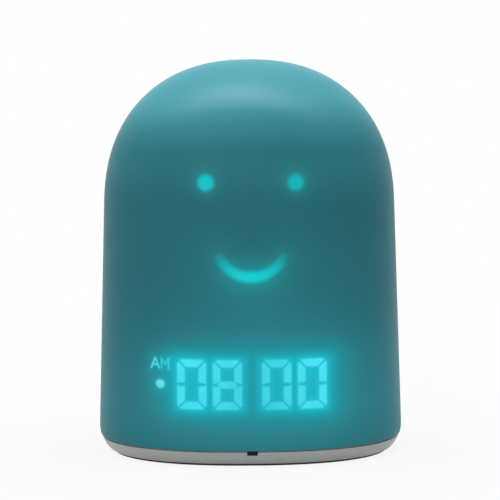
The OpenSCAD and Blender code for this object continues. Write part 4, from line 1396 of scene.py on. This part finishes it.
@dataclass
class Casing:
    """The dome and the tray that it stands in, on a rubber ring."""

    steps: int = 240
    lip: float = 0.5
    opening_edge: float = 0.5
    wall_rings: int = 14
    dome_rings: int = 56
    inner_rings: int = 24
    base: float = 0.8
    tray_step: float = 0.3
    tray_edge: float = 0.35
    rebate: Point = (0.85, 0.4)
    tongue_gap: float = 2.4
    tongue: float = 1.5
    tongue_top: float = 9.2
    floor: float = 2.8
    groove: float = 0.9
    groove_play: float = 0.1
    foot_inset: float = 1.2
    foot_width: float = 2.6
    foot_edge: float = 0.5
    sleeves: Posts = Posts(
        places=((36.94, -16.0), (36.94, 24.0), (-36.94, -16.0), (-36.94, 24.0)),
        radius=4.0,
        top=9.19,
        hole=((3.0, 0.0), (3.0, 0.8), (2.8, 1.0), (2.8, 3.6), (1.6, 3.6), (1.6, 12.0)),
    )
    standoffs: Posts = Posts(
        places=((26.5, -8.8), (26.5, 22.2), (-26.5, -8.8), (-26.5, 22.2)),
        radius=2.4,
        top=7.8,
        hole=((0.8, 2.8), (0.8, 9.0)),
    )
    chassis_posts: Posts = Posts(
        places=((24.0, -18.5), (-24.0, -18.5)), radius=3.5, top=5.8, hole=((1.3, 2.8), (1.3, 7.0))
    )
    slot: Point = (3.6, 1.6)
    slot_depth: float = 12.0
    slot_corner: float = 0.3
    felt: float = 0.6

    @property
    def slot_centre(self) -> Point:
        """X and Z of the sound slot, whose top is the seam."""
        return (0.0, FORM.seam - self.slot[1] / 2)

    def wall_levels(self) -> list[Point]:
        """Returns pairs of height and wall from the seam up to below the crown."""
        found = [(FORM.seam + face, side) for side, face in rounding(self.lip, 4)]
        low = FORM.seam + self.lip
        found += [(low + (FORM.belt - low) * i / 4, 0.0) for i in range(1, 4)]
        rise = FORM.shoulder - FORM.belt
        found += [(FORM.belt + rise * i / self.wall_rings, 0.0) for i in range(self.wall_rings)]
        return found + [(z, 0.0) for z in FORM.dome_heights(0.0, self.dome_rings)]

    def dome(self) -> Solid:
        """Returns the dome, hollow, with the arched opening in its back."""
        outer = [FORM.ring(z, wall, self.steps) for z, wall in self.wall_levels()]
        shell, rear, edge = FORM.shell, FORM.rear, self.opening_edge
        heights = [FORM.seam + (FORM.shoulder - FORM.seam) * i / 8 for i in range(8)]
        heights += FORM.dome_heights(shell, self.inner_rings)
        inner = [FORM.ring(z, shell, self.steps) for z in reversed(heights)]
        solid = Solid().lofted(FORM.height - shell, inner + outer, FORM.height)
        flare = [(-face, rear - side) for side, face in rounding(edge, 4)]
        depths = [(0.0, rear - 5)] + flare + [(-edge, rear + 1)]
        return solid.apply(Act.CUT, Solid().plate(Along.BACK, depths, Arch()))

    def bowl(self) -> Solid:
        """Returns the tray's toe, floor and tongue."""
        step, (depth, height) = self.tray_step, self.rebate
        top = FORM.seam - height
        edge = rounding(self.tray_edge, 3)
        walls = [(self.base + face, step + side) for side, face in edge]
        low, high = self.base + self.tray_edge, top - self.tray_edge
        walls += [(low + (high - low) * i / 6, step) for i in range(1, 6)]
        walls += [(top - face, step + side) for side, face in reversed(edge)]
        walls += [(top, step + depth), (FORM.seam, step + depth)]
        rings = [FORM.ring(z, wall, self.steps) for z, wall in walls]
        inner = self.tongue_gap + self.tongue
        for z, wall in (
            (FORM.seam, self.tongue_gap),
            (self.tongue_top, self.tongue_gap),
            (self.tongue_top, inner),
            (self.floor, inner),
        ):
            rings.append([Vector((x, y, z)) for x, y, _ in FORM.ring(FORM.seam, wall, self.steps)])
        return Solid().lofted(self.base, rings, self.floor)

    def tray(self) -> Solid:
        """Returns the tray with its posts, screw holes, foot groove and sound slot."""
        posts, holes = Solid(), Solid()
        for kind in (self.sleeves, self.standoffs, self.chassis_posts):
            rod = capped((kind.radius, self.floor - 0.4), (kind.radius, kind.top))
            for centre in kind.places:
                posts.turned(centre, rod, Along.UP)
                holes.turned(centre, capped(*kind.hole), Along.UP)
        width = self.foot_inset + self.foot_width
        groove = [(0.0, 0.0), (0.0, self.base + self.groove)]
        outside = Plan(self.base, self.foot_inset - self.groove_play)
        holes.plate(Along.UP, groove, outside, [Plan(self.base, width + self.groove_play)])
        start = FORM.middle - FORM.front - 1
        slot = RoundedBox(self.slot_centre, self.slot, self.slot_corner)
        holes.plate(Along.BACK, [(0.0, start), (0.0, start + self.slot_depth)], slot)
        return self.bowl().apply(Act.JOIN, posts).apply(Act.CUT, holes)

    def gauze(self) -> Solid:
        """Returns the dark felt that closes the sound slot, a little way in."""
        size = tuple(side + 0.1 for side in self.slot)
        start = FORM.middle - FORM.half_sizes(FORM.seam - self.slot[1], self.tray_step)[1] + 0.5
        felt = RoundedBox(self.slot_centre, size, self.slot_corner)
        return Solid().plate(Along.BACK, levels(start, start + self.felt, 0.2), felt)

    def foot(self) -> Solid:
        """Returns the ring that the tray stands on."""
        depths = levels(0.0, self.base + self.groove, self.foot_edge)
        inner = Plan(self.base, self.foot_inset + self.foot_width)
        return Solid().plate(Along.UP, depths, Plan(self.base, self.foot_inset), [inner])

    def build(self) -> None:
        """Places the dome, the tray, the ring and the felt."""
        place(self.dome(), "dome", "shell", SKIN)
        place(self.tray(), "tray", "base_tray", PALE)
        place(self.foot(), "foot", "foot_ring", RUBBER)
        place(self.gauze(), "slot_felt", "", FELT)


@dataclass
class BackPanel:
    """The arched panel in the back: sound holes, three keys, a switch slot and a socket."""

    gap: float = 0.2
    back: float = 40.8
    face: float = 42.4
    edge: float = 0.25
    arch: Point = (0.0, 57.0)
    hole: float = 0.9
    pitch: float = 3.1
    rings: int = 4
    key_hole: float = 4.8
    key_pitch: float = 13.5
    key_z: float = 31.5
    row: Point = (9.5, 19.5)
    switch_slot: Point = (7.2, 3.2)
    switch_corner: float = 0.3
    socket: Point = (8.2, 3.2)
    socket_corner: float = 1.1
    collar: tuple[float, float, float] = (17.2, 0.9, 1.9)
    screws: tuple[Point, ...] = ((16.4, 69.8), (-16.4, 69.8), (20.6, 15.1), (-20.6, 15.1))
    seat: float = 1.2
    posts: tuple[Point, ...] = ((6.75, 37.1), (-6.75, 37.1), (16.2, 24.4), (-16.2, 24.4))
    post: Point = (0.8, 1.6)
    board: float = 35.6
    overlap: float = 0.4
    cloth_radius: float = 14.4
    cloth_thick: float = 0.15

    def sound_holes(self) -> list[Outline]:
        """Returns the grille: rings of six, twelve and so on round a middle hole."""
        places = [self.arch]
        for ring in range(1, self.rings + 1):
            places += Disc(self.arch, ring * self.pitch, 6 * ring).points(0)
        return [Disc(centre, self.hole, 24) for centre in places]

    def panel(self) -> Solid:
        """Returns the panel with its holes, collar and posts."""
        holes = self.sound_holes()
        for x in (-self.key_pitch, 0.0, self.key_pitch):
            holes.append(Disc((x, self.key_z), self.key_hole, 64))
        x, z = self.row
        holes.append(RoundedBox((-x, z), self.switch_slot, self.switch_corner))
        holes.append(RoundedBox((x, z), self.socket, self.socket_corner))
        depths = levels(self.back, self.face, last=self.edge)
        solid = Solid().plate(Along.BACK, depths, Arch(self.gap), holes)
        joined, sunk = Solid(), Solid()
        inner, wall, height = self.collar
        start, end = self.back - height, self.back + self.overlap
        profile = [(inner, start), (inner + wall, start), (inner + wall, end), (inner, end)]
        joined.turned(self.arch, profile, Along.BACK, 96)
        bore, radius = self.post
        top = self.back - self.overlap
        profile = capped((bore, top), (bore, self.board), (radius, self.board), (radius, end))
        for post in self.posts:
            joined.turned(post, profile, Along.BACK, 32)
        start, seat, end = self.back - 1, self.face - self.seat, self.face + 1
        profile = [(1.3, start), (1.3, seat), (2.2, seat), (2.2, self.face - self.edge)]
        profile += [(2.45, self.face), (2.45, end)]
        for screw in self.screws:
            sunk.turned(screw, capped(*profile), Along.BACK, 40)
        return solid.apply(Act.JOIN, joined).apply(Act.CUT, sunk)

    def cloth(self) -> Solid:
        """Returns the cloth behind the sound holes."""
        depths = levels(self.back - self.cloth_thick, self.back)
        return Solid().plate(Along.BACK, depths, Disc(self.arch, self.cloth_radius, 96))

    def build(self) -> None:
        """Places the panel and its cloth."""
        place(self.panel(), "back_panel", "rear_panel", PALE, crease=28.0)
        cloth = place(self.cloth(), "grille_sheet", "grille_cloth", CLOTH)


class Sign(Enum):
    """What is sunk into a key's cap."""

    MINUS = "minus"
    PLAY = "play"
    PLUS = "plus"


@dataclass
class Key:
    """A round key with a dished cap and a sunk sign."""

    sign: Sign
    x: float
    z: float = 31.5
    radius: float = 4.5
    top: float = 43.0
    flange: float = 5.4
    flange_start: float = 39.5
    flange_end: float = 40.6
    flange_edge: float = 0.15
    edge: float = 0.5
    dish_radius: float = 16.2
    dish: float = 0.25
    sunk: float = 0.3

    def cap(self) -> Solid:
        """Returns the turned cap on its flange."""
        rim = math.sqrt(self.dish_radius**2 - (self.dish_radius - self.dish) ** 2)
        low = self.top - self.dish + self.dish_radius
        radii = [rim * i / 6 for i in range(7)]
        profile = [(radius, low - math.sqrt(self.dish_radius**2 - radius**2)) for radius in radii]
        profile += arc((self.radius - self.edge, self.top - self.edge), self.edge, 90, 0, 5)
        profile += [
            (self.radius, self.flange_end),
            (self.flange - self.flange_edge, self.flange_end),
            (self.flange, self.flange_end - self.flange_edge),
            (self.flange, self.flange_start),
            (0.0, self.flange_start),
        ]
        return Solid().turned((self.x, self.z), profile, Along.BACK, 96)

    def mark(self) -> Solid:
        """Returns the cutter that sinks the sign."""
        centre = (self.x, self.z)
        signs = {
            Sign.MINUS: RoundedBox(centre, (3.4, 0.8), 0.35),
            Sign.PLAY: Polygon(centre, ((-1.8, 0.0), (1.2, -1.75), (1.2, 1.75))),
            Sign.PLUS: Polygon(centre, cross(1.7, 0.4)),
        }
        depths = [(0.0, self.top - self.dish - self.sunk), (0.0, self.top + 1)]
        return Solid().plate(Along.BACK, depths, signs[self.sign])

    def build(self) -> None:
        """Places the key on its own body."""
        name = self.sign.value
        solid = self.cap().apply(Act.CUT, self.mark())
        place(solid, f"{name}_cap", f"{name}_button", PALE, f"{name}_key")


@dataclass
class SlideSwitch:
    """The knob of the power switch: a flange, a stem and a piece ridged for a finger."""

    centre: Point = (-11.0, 19.5)
    parts: tuple[tuple[RoundedBox, float, float, float], ...] = (
        (RoundedBox(centre, (10.8, 4.0), 0.3), 39.8, 40.6, 0.1),
        (RoundedBox(centre, (2.0, 1.4), 0.1), 38.5, 40.0, 0.0),
        (RoundedBox(centre, (3.6, 2.6), 0.4), 40.2, 42.9, 0.35),
    )
    ridges: tuple[float, ...] = (-1.0, 0.0, 1.0)
    ridge: Point = (0.4, 4.0)
    ridge_depths: tuple[Point, ...] = ((0.12, 42.6), (-0.05, 43.4))

    def knob(self) -> Solid:
        """Returns the knob's parts in one, with its ridges cut."""
        solid, *others = (
            Solid().plate(Along.BACK, levels(start, end, last=edge), outline)
            for outline, start, end, edge in self.parts
        )
        for other in others:
            solid.apply(Act.JOIN, other)
        grooves = Solid()
        for ridge in self.ridges:
            groove = RoundedBox((self.centre[0] + ridge, self.centre[1]), self.ridge, 0.02, 1)
            grooves.plate(Along.BACK, self.ridge_depths, groove)
        return solid.apply(Act.CUT, grooves)

    def build(self) -> None:
        """Places the knob on its own body."""
        place(self.knob(), "switch_knob", "power_knob", BLACK, "slide_switch")


@dataclass
class SupplySocket:
    """The steel shell of the supply socket."""

    centre: Point = (9.5, 19.5)
    outer: RoundedBox = RoundedBox(centre, (7.6, 2.6), 0.8)
    inner: RoundedBox = RoundedBox(centre, (7.0, 2.0), 0.5)
    start: float = 35.6
    end: float = 42.1
    edge: float = 0.1

    def build(self) -> None:
        """Places the shell."""
        depths = levels(self.start, self.end, last=self.edge)
        solid = Solid().plate(Along.BACK, depths, self.outer, [self.inner])
        place(solid, "socket_shell", "usb_shell", STEEL)


@dataclass(frozen=True)
class Screws:
    """Pan head screws of one kind.

    Attributes:
        along: The way that they stand.
        places: Where their axes are.
        face: The depth of their heads' tops.
        away: The sign of the way from a head's top to its point.
        head: A head's radius and height.
        shank: A shank's radius and length.
    """

    along: Along
    places: tuple[Point, ...]
    face: float
    away: float
    head: Point
    shank: Point

    def profile(self) -> list[Point]:
        """Returns one screw's profile."""
        (radius, height), (thin, length) = self.head, self.shank
        domed = ((0.0, 0.0), (0.35, 0.01), (0.62, 0.06), (0.84, 0.17), (0.96, 0.34), (1.0, 0.55))
        points = [(share * radius, drop * height) for share, drop in domed]
        end = height + length
        points += [(radius, height), (thin, height), (thin, end - thin), (thin * 0.5, end)]
        return [(r, self.face + self.away * depth) for r, depth in points + [(0.0, end)]]

    def solid(self) -> Solid:
        """Returns all the screws with their cross recesses, each turned by another angle."""
        heads, crosses = Solid(), Solid()
        radius, height = self.head
        depth = self.face + self.away * height * 0.6
        depths = [(radius * 0.06, depth), (0.0, self.face - self.away)]
        for number, centre in enumerate(self.places):
            heads.turned(centre, self.profile(), self.along, 32)
            corners = cross(radius * 0.55, radius * 0.13, math.radians(23 + 37 * number))
            crosses.plate(self.along, depths, Polygon(centre, corners))
        return heads.apply(Act.CUT, crosses)


@dataclass
class Fasteners:
    """The screws that show: four in the back panel and four under the tray."""

    panel: Screws = Screws(Along.BACK, BackPanel.screws, 42.2, -1, (1.9, 1.0), (1.0, 7.0))
    base: Screws = Screws(Along.UP, Casing.sleeves.places, 1.8, 1, (2.5, 1.8), (1.3, 14.0))

    def build(self) -> None:
        """Places the screws."""
        place(self.panel.solid(), "panel_screw_set", "panel_screws", STEEL)
        place(self.base.solid(), "base_screw_set", "base_screws", STEEL)


@dataclass
class Speaker:
    """The loudspeaker's soft parts. Two of them cross from the cone to the basket in sectors."""

    centre: Point = BackPanel.arch
    steps: int = 96
    gasket_ring: Point = (14.6, 17.0)
    gasket_depths: Point = (40.1, 40.8)
    bulge: float = 0.12
    spider_ring: Point = (6.25, 11.35)
    spider_depth: float = 32.27
    spider_half: float = 0.06
    spider_bend: Point = (6.9, 8.9)
    pleat: float = 0.08
    pleats: int = 4
    pleat_zone: Point = (7.0, 10.2)
    surround_ring: Point = (12.25, 14.65)
    surround_depth: float = 38.5
    surround_bend: Point = (12.4, 14.05)
    roll: tuple[float, float, float] = (13.45, 0.8, 0.3)

    def gasket(self) -> Solid:
        """Returns the foam ring that the basket's rim presses on the panel."""
        inner, outer = self.gasket_ring
        start, end = self.gasket_depths
        turns = [math.pi * (i / 8 - 0.5) for i in range(9)]
        dips = [self.bulge * (1 - math.cos(turn)) for turn in turns]
        depths = [(start + end) / 2 + (end - start) / 2 * math.sin(turn) for turn in turns]
        edge = list(zip(dips, depths))
        profile = [(outer - dip, depth) for dip, depth in edge]
        profile += [(inner + dip, depth) for dip, depth in reversed(edge)]
        return Solid().turned(self.centre, profile, Along.BACK, self.steps)

    def spider_profile(self) -> list[Point]:
        """Returns the pleated disc's section: flat at both edges, with waves between them."""
        low, high = self.pleat_zone
        steps = 8 * self.pleats
        middle = [(self.spider_ring[0], self.spider_depth)]
        for i in range(steps + 1):
            rise = self.pleat * (1 - math.cos(2 * math.pi * self.pleats * i / steps))
            middle.append((low + (high - low) * i / steps, self.spider_depth + rise))
        middle.append((self.spider_ring[1], self.spider_depth))
        front = [(radius, depth - self.spider_half) for radius, depth in middle]
        return front + [(radius, depth + self.spider_half) for radius, depth in reversed(middle)]

    def surround_profile(self) -> list[Point]:
        """Returns the half roll's section, with a flat lip on either side."""
        middle, radius, thick = self.roll
        (inner, outer), foot = self.surround_ring, self.surround_depth
        lift = math.degrees(math.asin(thick / radius))
        section = [(inner, foot), (inner, foot + thick)]
        section += arc((middle, foot), radius, 180 - lift, lift, 10)
        section += [(outer, foot + thick), (outer, foot)]
        return section + arc((middle, foot), radius - thick, 0, 180, 10)

    def membrane(
        self, node: str, finish: Finish, profile: Sequence[Point], sectors: int, bend: Point
    ) -> None:
        """Places a ring between the cone and the basket, in sectors.

        Args:
            node: The node that it replaces, which names its pieces.
            finish: Its finish.
            profile: Its section.
            sectors: How many sectors it has.
            bend: Two distances from the axis, kept in the Bend that each sector is placed with.
        """
        turn = 360 / sectors
        hub = Vector((self.centre[0], 0.0, self.centre[1]))
        for number in range(sectors):
            start = turn * number
            middle = math.radians(start + turn / 2)
            way = Vector((math.cos(middle), 0.0, math.sin(middle)))
            across = Bend("cone", "housing", hub + way * bend[0], hub + way * bend[1])
            steps = self.steps // sectors
            solid = Solid().swept(self.centre, profile, start, start + turn, steps)
            place(solid, f"{node}_{number + 1}", node, finish, across)

    def build(self) -> None:
        """Places the soft parts."""
        gasket = place(self.gasket(), "foam_gasket", "speaker_gasket", FOAM)
        self.membrane("speaker_spider", PAPER, self.spider_profile(), 6, self.spider_bend)
        self.membrane("speaker_surround", FOAM, self.surround_profile(), 12, self.surround_bend)


@dataclass
class Works:
    """What the casing holds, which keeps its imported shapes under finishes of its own."""

    finishes: dict[Finish, str] = field(
        default_factory=lambda: {
            WHITE: "shell_frame chassis digit_mask face_mask lamp_reflector board_connectors",
            RUBBER: "microphone_boot",
            STEEL: "chassis_screws board_screws main_board_screws control_screws radio_module"
            " microphone battery_bracket tact_covers switch_body speaker_yoke speaker_top_plate",
            GREEN_BOARD: "display_board main_board control_board",
            WHITE_BOARD: "lamp_board",
            BLACK: "logic_chips capacitors tact_switches minus_plunger play_plunger plus_plunger"
            " usb_tongue speaker_basket",
            FILM: "digit_diffuser",
            LAMP: "digit_lamps face_lamps night_lamps",
            WRAP: "battery",
            PAPER: "speaker_cone",
            FERRITE: "speaker_magnet",
            COPPER: "voice_coil",
            CABLE: "microphone_leads display_ribbon control_ribbon speaker_leads battery_leads"
            " lamp_leads",
        }
    )

    def build(self) -> None:
        """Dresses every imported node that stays."""
        for finish, nodes in self.finishes.items():
            for node in nodes.split():
                dress(node, finish)


# ---- The studio ----


@dataclass
class Studio:
    """A pale floor, soft light and the camera. Its sizes are in metres."""

    distance: float = 1.2
    elevation: float = 6.03
    azimuth: float = -0.8
    roll: float = -0.36
    lens: float = 249.4
    aim: tuple[float, float, float] = (0.00015, 0.0, 0.06925)
    floor_tone: Colour = (0.86, 0.86, 0.86, 1.0)
    floor_size: float = 4.0
    white: Colour = (1.0, 1.0, 1.0, 1.0)
    shade: float = 0.12
    fade: Point = (90.0, 450.0)
    sky_light: float = 0.35
    floor_gap: float = 0.00005

    def floor(self) -> None:
        """Lays a white floor that keeps the clock's shadow."""
        mesh = bmesh.new()
        low = Matrix.Translation((0.0, 0.0, -self.floor_gap))
        size = self.floor_size
        bmesh.ops.create_grid(mesh, x_segments=8, y_segments=8, size=size, matrix=low)
        data = bpy.data.meshes.new("floor")
        mesh.to_mesh(data)
        mesh.free()
        graph = Graph(bpy.data.materials.new("studio_floor"))
        plain = graph.node("ShaderNodeBsdfDiffuse", inputs={"Color": self.floor_tone})
        glow = graph.node("ShaderNodeEmission", inputs={"Color": self.white, "Strength": 1.0})
        x, y, _ = graph.axes(graph.place())
        share = self.seen(graph) * (1 - (1 - span(x, y).eased(*self.fade)) * self.shade)
        both = {0: share, 1: plain.outputs[0], 2: glow.outputs[0]}
        shader = graph.node("ShaderNodeMixShader", inputs=both)
        graph.node("ShaderNodeOutputMaterial", inputs={"Surface": shader.outputs[0]})
        data.materials.append(graph.owner)
        stand("floor", data)

    def seen(self, graph: Graph) -> Signal:
        """Tells what the camera, a gloss or a clear piece sees from what only gives light.

        Args:
            graph: The graph that the nodes go into.

        Returns:
            1 where it is seen, else 0.
        """
        outputs = graph.node("ShaderNodeLightPath").outputs
        kinds = ("Is Camera Ray", "Is Glossy Ray", "Is Transmission Ray")
        camera, gloss, clear = (Signal(graph, outputs[kind]) for kind in kinds)
        return camera.most(gloss).most(clear)

    def sky(self) -> None:
        """Makes the world white to the eye and softer as a light."""
        bpy.context.scene.world = bpy.data.worlds.new("studio_world")
        graph = Graph(bpy.context.scene.world)
        strength = self.seen(graph) * (1 - self.sky_light) + self.sky_light
        light = {"Color": self.white, "Strength": strength}
        shade = graph.node("ShaderNodeBackground", inputs=light)
        graph.node("ShaderNodeOutputWorld", inputs={"Surface": shade.outputs[0]})

    def lamp(self, name: str, at: tuple[float, float, float], size: Point, power: float) -> None:
        """Hangs a soft lamp that looks at the clock.

        Args:
            name: The lamp's name.
            at: Where it hangs.
            size: Its width and length.
            power: Its power in watts.
        """
        data = bpy.data.lights.new(name, "AREA")
        data.shape = "RECTANGLE"
        data.size, data.size_y = size
        data.energy = power
        made = stand(name, data)
        made.location = at
        made.rotation_euler = (Vector(self.aim) - Vector(at)).to_track_quat("-Z", "Y").to_euler()

    def camera(self) -> None:
        """Sets up the camera in front of the clock."""
        data = bpy.data.cameras.new("camera")
        data.sensor_width = 36.0
        data.lens = self.lens
        tilt, turn = math.radians(self.elevation), math.radians(self.azimuth)
        flat = math.cos(tilt)
        away = Vector((math.sin(turn) * flat, -math.cos(turn) * flat, math.sin(tilt)))
        made = stand("camera", data)
        made.location = Vector(self.aim) + away * self.distance
        roll = Quaternion((0.0, 0.0, 1.0), math.radians(self.roll))
        made.rotation_euler = ((-away).to_track_quat("-Z", "Y") @ roll).to_euler()
        bpy.context.scene.camera = made

    def build(self) -> None:
        """Builds the studio."""
        self.floor()
        self.sky()
        self.lamp("top_light", (0.0, 0.1, 0.9), (1.0, 0.7), 6.5)
        self.lamp("front_light", (-0.5, -1.6, 0.9), (1.2, 1.0), 5.0)
        self.camera()
        bpy.context.scene.view_settings.view_transform = "Standard"


def main() -> None:
    """Builds the clock and its studio."""
    logging.basicConfig(level=logging.INFO, format="%(message)s")
    parts = [Casing(), BackPanel()]
    parts += [Key(Sign.MINUS, 13.5), Key(Sign.PLAY, 0.0), Key(Sign.PLUS, -13.5)]
    parts += [SlideSwitch(), SupplySocket(), Fasteners(), Speaker(), Works(), Studio()]
    for part in parts:
        part.build()


if __name__ == "__main__":
    main()
